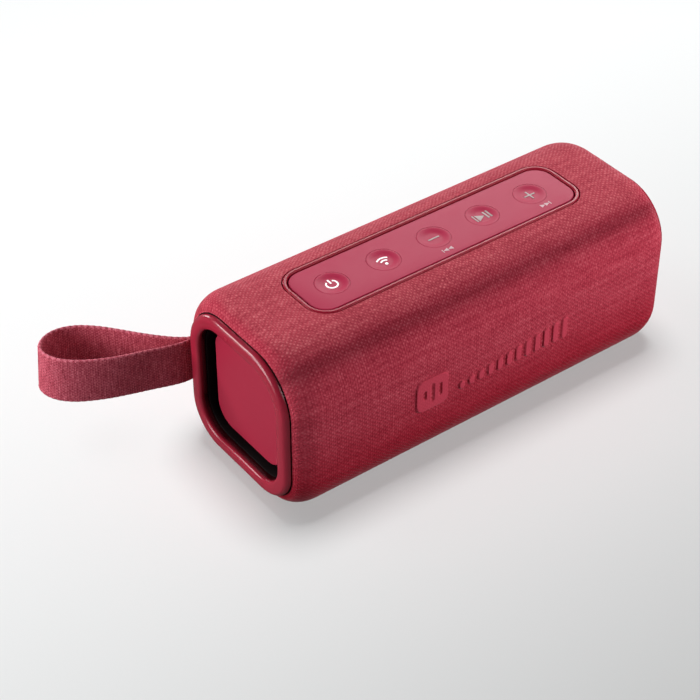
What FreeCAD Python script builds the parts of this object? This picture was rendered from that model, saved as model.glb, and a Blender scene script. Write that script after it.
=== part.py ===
# Portable fabric-wrapped loudspeaker with two front drivers, two end passive radiators, a top key
# panel, a rear socket panel with a flap, and a webbing wrist strap.  Units: millimetres.
# Frame: X along the length (power key end is -X, called left), front face is -Y, top is +Z.
# The origin is on the floor, under the middle of the body; Z = 0 is the underside of the feet.
import FreeCAD, Part
import Sketcher
import math, os

App = FreeCAD
Vec = App.Vector
doc = App.newDocument("portable_speaker")
sheet = doc.addObject("Spreadsheet::Sheet", "dims")

# ------------------------------------------------------------------ driving dimensions
# Endings: _w width, _h height, _t thickness, _rad or _r radius, _rt and _rb top and bottom corner
# radius, _in and _out inward and outward reach.
CELLS = [
    # outer body
    ("body_len", 180.0), ("body_w", 71.0), ("body_h", 71.5), ("foot_drop", 1.0),
    ("body_rt", 23.0), ("body_rb", 19.5), ("taper_len", 10.2), ("taper_in", 5.2),
    ("ring_visible", 2.5), ("cloth_t", 1.0), ("glue_gap", 0.05), ("sleeve_t", 1.8),
    ("air_gap", 0.15),
    # end rings
    ("ring_flange", 2.4), ("ring_lip_w", 49.0), ("ring_lip_h", 50.2), ("ring_lip_rt", 14.0),
    ("ring_lip_rb", 12.0), ("ring_wall", 4.6), ("skirt_deep", 6.0),
    ("peg_rad", 1.0), ("peg_y", 12.0), ("peg_off", 26.55),
    # passive radiators
    ("frame_w", 52.0), ("frame_h", 50.8), ("frame_t", 2.0), ("frame_x", 78.2),
    ("frame_open_w", 45.0), ("frame_open_h", 45.6),
    ("plate_w", 40.6), ("plate_h", 43.4), ("plate_r", 9.0), ("plate_t", 2.0), ("plate_x", 83.0),
    ("plate_boss_w", 34.0), ("plate_boss_h", 34.6),
    ("roll_half_y", 20.0), ("roll_half_z", 20.3), ("roll_corner", 9.5), ("roll_rad", 2.4),
    ("roll_t", 0.7), ("roll_in", 5.2), ("roll_out", 4.6), ("weight_w", 26.0), ("weight_t", 2.9),
    ("frame_screw_y", 22.3), ("frame_screw_z", 22.3), ("frame_screw_hole", 1.15),
    # key panel
    ("trim_w", 125.8), ("trim_h", 29.3), ("trim_r", 9.2), ("trim_band", 1.6), ("trim_top", 72.75),
    ("panel_bot", 69.6), ("panel_w", 122.2), ("panel_h", 25.7), ("panel_r", 7.4),
    ("panel_top", 72.35), ("key_pitch", 23.2), ("key_shift", -0.7),
    ("key_rad", 6.5), ("key_hole", 6.6), ("key_flange", 7.5), ("key_cbore", 7.8),
    ("key_cbore_top", 70.9), ("key_top", 72.3), ("key_dish_r", 26.0), ("key_dish_deep", 0.7),
    ("stem_rad", 1.8), ("stem_bot", 65.6), ("mat_w", 119.0), ("mat_h", 22.4), ("mat_t", 0.8),
    ("mat_z", 66.95), ("control_w", 117.6), ("control_h", 21.0), ("control_t", 1.2),
    ("control_z", 62.4),
    # enclosure (enc)
    ("enc_len", 156.0), ("enc_inset", 3.0), ("cavity_len", 151.0), ("cavity_w", 60.2),
    ("cavity_h", 52.2), ("cavity_z", 32.5), ("cavity_rt", 14.0), ("cavity_rb", 14.1),
    ("split_y", -24.2), ("seal_t", 0.8), ("channel_w", 121.0), ("channel_h", 23.6),
    ("channel_low_w", 118.4), ("channel_low_h", 21.6), ("channel_z", 61.0),
    ("channel_step", 66.9), ("bolt_x", 72.2), ("bolt_low_z", 14.0), ("bolt_high_z", 55.0),
    # drivers
    ("driver_x", 40.0), ("driver_z", 35.5), ("driver_well", 24.3), ("driver_recess", 22.8),
    ("driver_hole", 19.6), ("driver_seat", -27.5), ("driver_screw_ring", 20.95),
    # electronics
    ("cell_rad", 9.2), ("cell_len", 65.2), ("cell_y", 8.5), ("cell_z", 16.4),
    ("board_y", 22.0), ("board_t", 1.6), ("port_x", 45.0), ("port_z", 36.0), ("port_w", 36.0),
    ("port_h", 16.0), ("usb_x", 37.5), ("aux_x", 52.5), ("aux_bore", 1.8),
    ("flap_axis_y", 34.6), ("flap_axis_z", 29.9),
    # strap
    ("pin_x", -84.5), ("pin_y", 31.8), ("pin_rad", 1.25), ("pin_len", 23.6),
    ("web_w", 19.0), ("web_t", 1.2),
    # feet
    ("foot_w", 112.0), ("foot_h", 7.0), ("foot_y", 10.5), ("foot_top", 3.7),
]


class Size:
    """A length: its value now, and the expression that ties it to the sheet."""

    def __init__(self, value, text=None):
        self.value = float(value)
        self.text = text or "(%.6f)" % self.value

    def joined(self, sign, other, value):
        return Size(value, "(%s %s %s)" % (self.text, sign, other.text))

    def __add__(self, other):
        other = size(other)
        return self.joined("+", other, self.value + other.value)

    def __radd__(self, other):
        return size(other) + self

    def __sub__(self, other):
        other = size(other)
        return self.joined("-", other, self.value - other.value)

    def __rsub__(self, other):
        return size(other) - self

    def __mul__(self, other):
        other = size(other)
        return self.joined("*", other, self.value * other.value)

    def __rmul__(self, other):
        return size(other) * self

    def __truediv__(self, other):
        other = size(other)
        return self.joined("/", other, self.value / other.value)

    def __neg__(self):
        return Size(-self.value, "(0 - %s)" % self.text)


def size(number):
    return number if isinstance(number, Size) else Size(number)


class Dims:
    """Holds one Size per sheet alias."""


dims = Dims()
for row, (alias, number) in enumerate(CELLS, 1):
    sheet.set("A%d" % row, alias)
    sheet.set("B%d" % row, str(number))
    sheet.setAlias("B%d" % row, alias)
    setattr(dims, alias, Size(number, "dims." + alias))
doc.recompute()

# places that several pieces share
mid_z = dims.foot_drop + dims.body_h / 2
half_len = dims.body_len / 2
straight = half_len - dims.ring_visible - dims.taper_len  # where the end taper begins
enc_half = dims.enc_len / 2
rear_split = dims.split_y + dims.seal_t / 2
front_split = dims.split_y - dims.seal_t / 2
frame_face = dims.frame_x + dims.frame_t
control_top = dims.control_z + dims.control_t
board_back = dims.board_y + dims.board_t

WINDOW_GAP = 0.4  # added to a piece's size to give its window in the skin
HOUSING_H = 24  # strap housing
FOOT_R = 3.3
PORT_R = 2.6
AUX_HOLE = 8.2  # square hole round the aux socket, in the enclosure and the main board
BOLT_SEAT = 27.0  # head seat of the enclosure screws, in front of the middle
BOSS_RAD = 3.5
DRIVER_FACE = 29.5  # front of the driver flange, in front of the middle
HEAD_GAP = 0.02  # under every screw head

ENDS = [("left", -1), ("right", 1)]
KEY_NAMES = ["power", "pairing", "volume_down", "play_pause", "volume_up"]
KEYS = [(name, dims.key_shift + k * dims.key_pitch) for k, name in enumerate(KEY_NAMES, -2)]
KEY_SPOTS = [(x, 0) for _, x in KEYS]
# label, y of the middle, length along X
FEET = [("foot_strip_front", -dims.foot_y, dims.foot_w), ("foot_strip_rear", dims.foot_y, dims.foot_w),
        ("foot_pad_middle", 0, 2 * dims.foot_h)]
# screw places: (x, y) on the control board, (x, z) on the others
CONTROL_SCREWS = [(-55, -7.5), (-55, 7.5), (55, -7.5), (55, 7.5)]
BOARD_SCREWS = [(-3.5, 31.5), (-3.5, 50.5), (67.5, 31.5), (67.5, 50.5)]
BOLTS = [(side * dims.bolt_x, z) for side in (-1, 1) for z in (dims.bolt_low_z, dims.bolt_high_z)]
DRIVER_SPOTS = [(side * dims.driver_x, 0) for side in (-1, 1)]
# about one driver's axis
FLANGE_SCREWS = [(dims.driver_screw_ring * math.cos(math.radians(angle)),
                  dims.driver_screw_ring * math.sin(math.radians(angle)))
                 for angle in (45, 135, 225, 315)]
DRIVER_SCREWS = [(spot[0] + x, z) for spot in DRIVER_SPOTS for x, z in FLANGE_SCREWS]


def corners(y, z):
    return [(side_y * y, side_z * z) for side_y in (-1, 1) for side_z in (-1, 1)]


PEGS = corners(dims.peg_y, dims.peg_off)
FRAME_SCREWS = corners(dims.frame_screw_y, dims.frame_screw_z)

# ------------------------------------------------------------------ document helpers
pieces = []  # every exported piece
name_count = {"last": 0}


def new_name(kind):
    name_count["last"] += 1
    return "%s%03d" % (kind, name_count["last"])


def publish(obj, label):
    """Labels a piece and puts it on the export list."""
    obj.Label = label
    pieces.append(obj)


def bind(obj, prop, length):
    length = size(length)
    if "dims." in length.text:
        obj.setExpression(prop, length.text)


def drive(obj, prop, length):
    setattr(obj, prop, size(length).value)
    bind(obj, prop, length)


def body(label, exported=True):
    part = doc.addObject("PartDesign::Body", new_name("Body"))
    part.Label = label
    if exported:
        pieces.append(part)
    return part


def fixed_shape(kind, label, shape, lift=0):
    obj = doc.addObject("Part::Feature", new_name(kind))
    obj.Shape = shape
    obj.Placement = App.Placement(Vec(0, 0, lift), App.Rotation())
    publish(obj, label)


def group(label, objs):
    compound = doc.addObject("Part::Compound", new_name("Group"))
    compound.Links = list(objs)
    publish(compound, label)


def prim(kind, pos, turn=App.Rotation(), **sizes):
    """Part primitive at pos, its place and sizes bound to the sheet."""
    obj = doc.addObject("Part::" + kind, new_name(kind))
    obj.Placement = App.Placement(Vec(*[size(a).value for a in pos]), turn)
    for axis, place in zip("xyz", pos):
        bind(obj, "Placement.Base." + axis, place)
    for prop, length in sizes.items():
        drive(obj, prop, length)
    return obj


def minus(base, tool):
    result = doc.addObject("Part::Cut", new_name("Cut"))
    result.Base, result.Tool = base, tool
    return result


# ------------------------------------------------------------------ sketch helpers
def sketch(part, plane, across=0, up=0, lift=0):
    """Sketch on an origin plane, its origin moved in the plane and lifted along the normal.
    XY: x=X y=Y n=+Z.  XZ: x=X y=Z n=-Y.  YZ: x=Y y=Z n=+X."""
    drawing = part.newObject("Sketcher::SketchObject", new_name("Sketch"))
    origin_plane = [f for f in part.Origin.OriginFeatures if f.Role == plane + "_Plane"][0]
    drawing.AttachmentSupport = [(origin_plane, "")]
    drawing.MapMode = "FlatFace"
    base = [size(a) for a in (across, up, lift)]
    drawing.AttachmentOffset = App.Placement(Vec(*[a.value for a in base]), App.Rotation())
    for axis, offset in zip("xyz", base):
        bind(drawing, "AttachmentOffset.Base." + axis, offset)
    return drawing


def constrain(drawing, *entries):
    """Adds a constraint; a Size as its last entry is bound to the sheet."""
    *refs, last = entries
    number = last.value if isinstance(last, Size) else last
    index = drawing.addConstraint(Sketcher.Constraint(*refs, number))
    if isinstance(last, Size):
        bind(drawing, "Constraints[%d]" % index, last)


def place_point(drawing, geo, pos, x, y):
    for kind, axis, place in (("DistanceX", -2, size(x)), ("DistanceY", -1, size(y))):
        if abs(place.value) < 1e-9:
            constrain(drawing, "PointOnObject", geo, pos, axis)
        elif place.value > 0:
            constrain(drawing, kind, -1, 1, geo, pos, place)
        else:
            constrain(drawing, kind, geo, pos, -1, 1, -place)


def rounded(drawing, width, height, top_r, bottom_r=None):
    """Rounded rectangle about the sketch origin."""
    width, height, top_r = size(width), size(height), size(top_r)
    bottom_r = top_r if bottom_r is None else size(bottom_r)
    x, y = width.value / 2, height.value / 2
    top, bottom = top_r.value, bottom_r.value

    def arc(centre_x, centre_y, radius, quarter):
        circle = Part.Circle(Vec(centre_x, centre_y, 0), Vec(0, 0, 1), radius)
        return Part.ArcOfCircle(circle, quarter * math.pi / 2, (quarter + 1) * math.pi / 2)

    def line(x0, y0, x1, y1):
        return Part.LineSegment(Vec(x0, y0, 0), Vec(x1, y1, 0))

    ring = drawing.addGeometry([
        line(x - top, y, -x + top, y),
        arc(-x + top, y - top, top, 1),
        line(-x, y - top, -x, -y + bottom),
        arc(-x + bottom, -y + bottom, bottom, 2),
        line(-x + bottom, -y, x - bottom, -y),
        arc(x - bottom, -y + bottom, bottom, 3),
        line(x, -y + bottom, x, y - top),
        arc(x - top, y - top, top, 0),
    ], False)
    for i in range(8):
        constrain(drawing, "Tangent", ring[i], 2, ring[(i + 1) % 8], 1)
    top_line, top_left, left, bottom_left, bottom_line, bottom_right, right, top_right = ring
    constrain(drawing, "Horizontal", top_line)
    constrain(drawing, "Horizontal", bottom_line)
    constrain(drawing, "Vertical", left)
    constrain(drawing, "Vertical", right)
    constrain(drawing, "Radius", top_left, top_r)
    constrain(drawing, "Radius", top_right, top_r)
    constrain(drawing, "Radius", bottom_left, bottom_r)
    constrain(drawing, "Radius", bottom_right, bottom_r)
    constrain(drawing, "DistanceX", -1, 1, right, 1, width / 2)
    constrain(drawing, "DistanceX", left, 1, -1, 1, width / 2)
    constrain(drawing, "DistanceY", -1, 1, top_line, 1, height / 2)
    constrain(drawing, "DistanceY", bottom_line, 1, -1, 1, height / 2)
    return drawing


def circles(drawing, radius, centres=((0, 0),)):
    radius = size(radius)
    for x, y in centres:
        centre = Vec(size(x).value, size(y).value, 0)
        geo = drawing.addGeometry(Part.Circle(centre, Vec(0, 0, 1), radius.value), False)
        constrain(drawing, "Radius", geo, radius)
        place_point(drawing, geo, 3, x, y)
    return drawing


def polygon(drawing, points):
    spots = [Vec(size(x).value, size(y).value, 0) for x, y in points]
    lines = [drawing.addGeometry(Part.LineSegment(start, end), False)
             for start, end in zip(spots, spots[1:] + spots[:1])]
    for one, other in zip(lines, lines[1:] + lines[:1]):
        constrain(drawing, "Coincident", one, 2, other, 1)
    for line, (x, y) in zip(lines, points):
        place_point(drawing, line, 1, x, y)
    return drawing


def rectangle(drawing, width, height, x=0, y=0):
    width, height, x, y = size(width), size(height), size(x), size(y)
    return polygon(drawing, [(x - width / 2, y - height / 2), (x + width / 2, y - height / 2),
                             (x + width / 2, y + height / 2), (x - width / 2, y + height / 2)])


# ------------------------------------------------------------------ feature helpers
def pad(part, drawing, length):
    feature = part.newObject("PartDesign::Pad", new_name("Pad"))
    feature.Profile = drawing
    drive(feature, "Length", length)
    return feature


def cut(part, drawing, length, along=True):
    """Pocket along the sketch normal, or against it."""
    feature = part.newObject("PartDesign::Pocket", new_name("Pocket"))
    feature.Profile = drawing
    feature.Reversed = along
    drive(feature, "Length", length)
    return feature


def spin(part, drawing):
    """Full turn about the sketch's vertical axis."""
    feature = part.newObject("PartDesign::Revolution", new_name("Spin"))
    feature.Profile = drawing
    feature.ReferenceAxis = (drawing, ["V_Axis"])
    feature.Angle = 360.0


def loft(part, drawings, subtract):
    kind = "PartDesign::SubtractiveLoft" if subtract else "PartDesign::AdditiveLoft"
    feature = part.newObject(kind, new_name("Loft"))
    feature.Profile = drawings[0]
    feature.Sections = drawings[1:]
    feature.Ruled = False


def fillet(part, feature, radius, pick):
    doc.recompute()
    names = ["Edge%d" % i for i, edge in enumerate(feature.Shape.Edges, 1) if pick(edge)]
    if not names:
        raise SystemExit("no edge to fillet on " + part.Label)
    rounding = part.newObject("PartDesign::Fillet", new_name("Fillet"))
    rounding.Base = (feature, names)
    drive(rounding, "Radius", radius)


def edges_at(axis, place):
    """Picks the edges that lie in the plane where the axis reads place."""
    place = size(place).value

    def pick(edge):
        low = getattr(edge.BoundBox, axis + "Min")
        high = getattr(edge.BoundBox, axis + "Max")
        return abs(low - place) < 1e-3 and abs(high - place) < 1e-3

    return pick


def across_end(make, part, side, near, far, draw, *sizes):
    """Pads or cuts a YZ outline at one end, between two distances from the middle."""
    near, far = size(near), size(far)
    drawing = sketch(part, "YZ", 0, mid_z, near if side > 0 else -far)
    return make(part, draw(drawing, *sizes), far - near)


# ------------------------------------------------------------------ fabric skin and its carrier
LOFT_ANGLES = [0, 25, 48, 70, 90]  # degrees round the quarter ellipse of the end taper


def taper_point(angle):
    """Distance past the straight part, and inset, at an angle round the taper."""
    turn = math.radians(angle)
    return dims.taper_len * math.sin(turn), dims.taper_in * (1 - math.cos(turn))


def section(part, x, thick, taper=0.0):
    """Body cross-section at x, inset by a wall thickness and by the end taper."""
    thick, taper = size(thick), size(taper)
    inset = thick + taper
    return rounded(sketch(part, "YZ", 0, mid_z, x), dims.body_w - 2 * inset,
                   dims.body_h - 2 * inset, dims.body_rt - thick - 0.6 * taper,
                   dims.body_rb - thick - 0.6 * taper)


def wrap(part, outer, inner):
    """Open-ended tube of the body's shape between two insets, with the ends drawn in."""
    for thick, subtract in ((outer, False), (inner, True)):
        middle = section(part, -straight, thick)
        (cut if subtract else pad)(part, middle, 2 * straight)
        for side in (-1, 1):
            sections = []
            for angle in LOFT_ANGLES:
                past, taper = taper_point(angle)
                sections.append(section(part, side * (straight + past), thick, taper))
            loft(part, sections, subtract)


def openings(part):
    """Windows for the key panel, the socket panel, the feet and the strap housing."""
    gap = WINDOW_GAP
    window = rounded(sketch(part, "XY", 0, 0, mid_z),
                     dims.trim_w + gap, dims.trim_h + gap, dims.trim_r + gap / 2)
    cut(part, window, 60)
    window = rounded(sketch(part, "XZ", dims.port_x, dims.port_z, -20),
                     dims.port_w + gap, dims.port_h + gap, PORT_R + gap / 2)
    cut(part, window, 30, along=False)
    for _, y, length in FEET:
        window = rounded(sketch(part, "XY", 0, y, 10),
                         length + gap, dims.foot_h + gap, FOOT_R + gap / 2)
        cut(part, window, 30, along=False)
    housing_x, housing_w, start_y = -86.7, 16.6, 26
    window = rectangle(sketch(part, "XZ", housing_x, mid_z, -start_y), housing_w, HOUSING_H + gap)
    cut(part, window, 20, along=False)


def fabric_cover():
    part = body("fabric_cover")
    wrap(part, 0, dims.cloth_t)
    openings(part)


def grille_sleeve():
    """Carrier under the cloth, with a row of upright slots in the front."""
    slot_w, slot_h, slot_count = 2.2, 34, 25
    end_slot_x = 67.2
    part = body("grille_sleeve")
    inset = dims.cloth_t + dims.glue_gap
    wrap(part, inset, inset + dims.sleeve_t)
    openings(part)
    drawing = rectangle(sketch(part, "XZ", -end_slot_x, mid_z, 20), slot_w, slot_h)
    slot = cut(part, drawing, 30)
    pattern = part.newObject("PartDesign::LinearPattern", new_name("Pattern"))
    pattern.Originals = [slot]
    pattern.Direction = (drawing, ["H_Axis"])
    pattern.Length = 2 * end_slot_x
    pattern.Occurrences = slot_count
    part.Tip = pattern


# ------------------------------------------------------------------ end rings
def strap_housing(part):
    """Housing for the strap bar, on the rear side of the left end."""
    near_x, front_y = -78.6, 26.6
    slot_near_x, slot_front_y, slot_rear_y, slot_h = -80.3, 28.9, 40, 21.4
    drill_len = 30
    rear_y = dims.body_w / 2
    flange_x = -half_len + dims.ring_flange
    outline = [(flange_x, rear_y - dims.taper_in)]
    for angle in (75, 60, 45, 30, 20, 8):
        past, taper = taper_point(angle)
        outline.append((-(straight + past), rear_y - taper))
    outline += [(near_x, rear_y - 0.05), (near_x, front_y), (flange_x, front_y)]
    pad(part, polygon(sketch(part, "XY", 0, 0, mid_z - HOUSING_H / 2), outline), HOUSING_H)
    slot = [(flange_x, slot_front_y), (slot_near_x, slot_front_y),
            (slot_near_x, slot_rear_y), (flange_x, slot_rear_y)]
    cut(part, polygon(sketch(part, "XY", 0, 0, mid_z - slot_h / 2), slot), slot_h)
    drawing = sketch(part, "XY", dims.pin_x, dims.pin_y, mid_z - drill_len / 2)
    cut(part, circles(drawing, dims.pin_rad + 0.01), drill_len)


def end_ring(name, side):
    flange_inset = dims.taper_in + 0.05
    skirt_inset = dims.taper_in + dims.cloth_t + dims.glue_gap + dims.sleeve_t + dims.air_gap
    skirt_rt, skirt_rb = 17.0, 13.6
    flange_start = half_len - dims.ring_flange
    skirt_start = half_len - dims.skirt_deep
    part = body("end_ring_" + name)
    flange = across_end(pad, part, side, flange_start, half_len, rounded,
                        dims.body_w - 2 * flange_inset, dims.body_h - 2 * flange_inset,
                        dims.body_rt - 0.6 * dims.taper_in, dims.body_rb - 0.6 * dims.taper_in)
    on_outer_face = edges_at("X", side * half_len)
    fillet(part, flange, 2.1, on_outer_face)
    across_end(pad, part, side, skirt_start, flange_start, rounded,
               dims.body_w - 2 * skirt_inset, dims.body_h - 2 * skirt_inset, skirt_rt, skirt_rb)
    if side < 0:
        strap_housing(part)
    opening = across_end(cut, part, side, skirt_start - 1, half_len + 1, rounded,
                         dims.ring_lip_w, dims.ring_lip_h, dims.ring_lip_rt, dims.ring_lip_rb)

    def on_lip(edge):
        if not on_outer_face(edge) or abs(edge.BoundBox.Center.y) >= 26:
            return False
        reach_y = max(abs(v.Point.y) for v in edge.Vertexes)
        reach_z = max(abs(v.Point.z - mid_z.value) for v in edge.Vertexes)
        return (reach_y < dims.ring_lip_w.value / 2 + 0.2
                and reach_z < dims.ring_lip_h.value / 2 + 0.2)

    fillet(part, opening, 1.3, on_lip)
    # wider bore behind the lip
    across_end(cut, part, side, skirt_start - 1, half_len - dims.ring_wall, rounded,
               dims.ring_lip_w + 2.6, dims.ring_lip_h + 1.6, dims.ring_lip_rt, dims.ring_lip_rb)
    # locating pegs into the enclosure's end wall
    across_end(pad, part, side, enc_half - 1.0, skirt_start + 0.5, circles, dims.peg_rad, PEGS)


# ------------------------------------------------------------------ passive radiators
def radiator_frame(name, side):
    part = body("radiator_frame_" + name)
    start, end = dims.frame_x, frame_face
    across_end(pad, part, side, start, end, rounded, dims.frame_w, dims.frame_h, 5)
    across_end(cut, part, side, start - 1, end + 1, rounded,
               dims.frame_open_w, dims.frame_open_h, 12)
    across_end(cut, part, side, start - 1, end + 1, circles, dims.frame_screw_hole, FRAME_SCREWS)


def radiator_plate(name, side):
    """Outer plate with a raised boss on its inner side."""
    part = body("radiator_plate_" + name)
    outer_x = dims.plate_x + dims.plate_t
    plate = across_end(pad, part, side, dims.plate_x, outer_x, rounded,
                       dims.plate_w, dims.plate_h, dims.plate_r)
    fillet(part, plate, 0.9, edges_at("X", side * outer_x))
    across_end(pad, part, side, frame_face + dims.roll_t + 0.05, dims.plate_x, rounded,
               dims.plate_boss_w, dims.plate_boss_h, 7)


def radiator_weight(name, side):
    part = body("radiator_weight_" + name)
    outer_x = frame_face + dims.roll_t
    across_end(pad, part, side, outer_x - dims.weight_t, outer_x, rounded,
               dims.weight_w, dims.weight_w, 5)


def radiator_surround(name, side):
    """Half-roll rubber edge: a band swept round a rounded square."""
    half_y, half_z = dims.roll_half_y.value, dims.roll_half_z.value
    corner, thick = dims.roll_corner.value, dims.roll_t.value
    reach_in, reach_out = dims.roll_in.value, dims.roll_out.value
    roll_r = dims.roll_rad.value
    inner_r = roll_r - thick
    base_x, base_z = side * frame_face.value, mid_z.value

    def spine_point(y, z):
        return Vec(base_x, y, base_z + z)

    start = here = spine_point(half_y, 0)
    edges = []
    diagonal = corner * math.sqrt(0.5)
    for side_y, side_z in ((1, 1), (-1, 1), (-1, -1), (1, -1)):
        on_side = spine_point(side_y * half_y, side_z * (half_z - corner))
        middle = spine_point(side_y * (half_y - corner + diagonal),
                             side_z * (half_z - corner + diagonal))
        on_top = spine_point(side_y * (half_y - corner), side_z * half_z)
        enter, leave = (on_side, on_top) if side_y == side_z else (on_top, on_side)
        edges += [Part.makeLine(here, enter), Part.Arc(enter, middle, leave).toShape()]
        here = leave
    edges.append(Part.makeLine(here, start))
    spine = Part.Wire(edges)

    def point(outward, lift):
        """Outward from the spine, and lifted towards the outside of the speaker."""
        return Vec(base_x + side * lift, half_y + outward, base_z)

    def lines(*spots):
        return [Part.makeLine(point(*one), point(*other)) for one, other in zip(spots, spots[1:])]

    def half_circle(begin):
        return [Part.Arc(point(begin, 0), point(0, -abs(begin)), point(-begin, 0)).toShape()]

    profile = Part.Wire(
        lines((-reach_in, 0), (-roll_r, 0)) + half_circle(-roll_r)
        + lines((roll_r, 0), (reach_out, 0), (reach_out, thick), (inner_r, thick), (inner_r, 0))
        + half_circle(inner_r)
        + lines((-inner_r, 0), (-inner_r, thick), (-reach_in, thick), (-reach_in, 0)))
    shape = spine.makePipeShell([profile], True, False)
    # the sweep may come back as a shell, or turned inside out
    if shape.ShapeType == "Shell":
        shape = Part.Solid(shape)
    if shape.Volume < 0:
        shape.reverse()
    fixed_shape("Surround", "radiator_surround_" + name, shape)


# ------------------------------------------------------------------ key panel
def panel_trim_ring():
    part = body("panel_trim_ring")
    outline = rounded(sketch(part, "XY", 0, 0, dims.panel_bot),
                      dims.trim_w, dims.trim_h, dims.trim_r)
    pad(part, outline, dims.trim_top - dims.panel_bot)
    hole = rounded(sketch(part, "XY", 0, 0, dims.panel_bot - 1),
                   dims.trim_w - 2 * dims.trim_band, dims.trim_h - 2 * dims.trim_band,
                   dims.trim_r - dims.trim_band)
    ring = cut(part, hole, 10)
    fillet(part, ring, 0.6, edges_at("Z", dims.trim_top))


def control_panel():
    part = body("control_panel")
    outline = rounded(sketch(part, "XY", 0, 0, dims.panel_bot),
                      dims.panel_w, dims.panel_h, dims.panel_r)
    plate = pad(part, outline, dims.panel_top - dims.panel_bot)
    fillet(part, plate, 0.6, edges_at("Z", dims.panel_top))
    below = dims.panel_bot - 1
    for radius, depth in ((dims.key_hole, 10), (dims.key_cbore, dims.key_cbore_top - below)):
        cut(part, circles(sketch(part, "XY", 0, 0, below), radius, KEY_SPOTS), depth)


def buttons():
    """Dished key caps, each with a flange below the panel and a stem."""
    cap_bottom, flange_bottom, flange_t = 70.0, 69.95, 0.85
    stem_top = cap_bottom + 0.2
    for name, x in KEYS:
        cap = prim("Cylinder", (x, 0, cap_bottom),
                   Radius=dims.key_rad, Height=dims.key_top - cap_bottom)
        flange = prim("Cylinder", (x, 0, flange_bottom), Radius=dims.key_flange, Height=flange_t)
        stem = prim("Cylinder", (x, 0, dims.stem_bot),
                    Radius=dims.stem_rad, Height=stem_top - dims.stem_bot)
        ball = prim("Sphere", (x, 0, dims.key_top - dims.key_dish_deep + dims.key_dish_r),
                    Radius=dims.key_dish_r)
        key = doc.addObject("Part::MultiFuse", new_name("Fuse"))
        key.Shapes = [cap, flange, stem]
        publish(minus(key, ball), "button_" + name)


def drilled_plate(label, width, height, corner_r, thick, bottom, hole_r, holes):
    part = body(label)
    pad(part, rounded(sketch(part, "XY", 0, 0, bottom), width, height, corner_r), thick)
    cut(part, circles(sketch(part, "XY", 0, 0, bottom - 1), hole_r, holes), 4)


def key_electronics():
    drilled_plate("keypad_mat", dims.mat_w, dims.mat_h, 7, dims.mat_t, dims.mat_z,
                  hole_r=2.4, holes=KEY_SPOTS)
    drilled_plate("control_board", dims.control_w, dims.control_h, 3, dims.control_t,
                  dims.control_z, hole_r=1.1, holes=CONTROL_SCREWS)
    switch_w, switch_h = 6, 1.3
    led_len, led_w, led_h, led_off = 2.0, 1.25, 0.8, (4.2, -0.6)
    group("tact_switches", [
        prim("Box", (x - switch_w / 2, -switch_w / 2, control_top),
             Length=switch_w, Width=switch_w, Height=switch_h) for _, x in KEYS])
    group("snap_domes", [
        prim("Cone", (x, 0, control_top + switch_h),
             Radius1=2.0, Radius2=1.5, Height=0.7) for _, x in KEYS])
    # beside the power and pairing keys
    group("status_leds", [
        prim("Box", (x + led_off[0], led_off[1], control_top),
             Length=led_len, Width=led_w, Height=led_h) for _, x in KEYS[:2]])


# ------------------------------------------------------------------ enclosure
def enclosure_block(part, cavity_w, waste_y, waste_depth):
    """Hollow body-shaped block with one side of the split cut away."""
    inset = dims.enc_inset
    outline = rounded(sketch(part, "YZ", 0, mid_z, -enc_half), dims.body_w - 2 * inset,
                      dims.body_h - 2 * inset, dims.body_rt - inset, dims.body_rb - inset)
    pad(part, outline, dims.enc_len)
    cavity = rounded(sketch(part, "YZ", 0, dims.cavity_z, -dims.cavity_len / 2),
                     cavity_w, dims.cavity_h, dims.cavity_rt, dims.cavity_rb)
    cut(part, cavity, dims.cavity_len)
    cut(part, rectangle(sketch(part, "XY", 0, waste_y, -5), 200, waste_depth), 90)


def round_set(make, part, y, radius, spots, length):
    """Posts or holes that run from y towards the front; spots are (x, z)."""
    make(part, circles(sketch(part, "XZ", 0, 0, -y), radius, spots), length)


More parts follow.
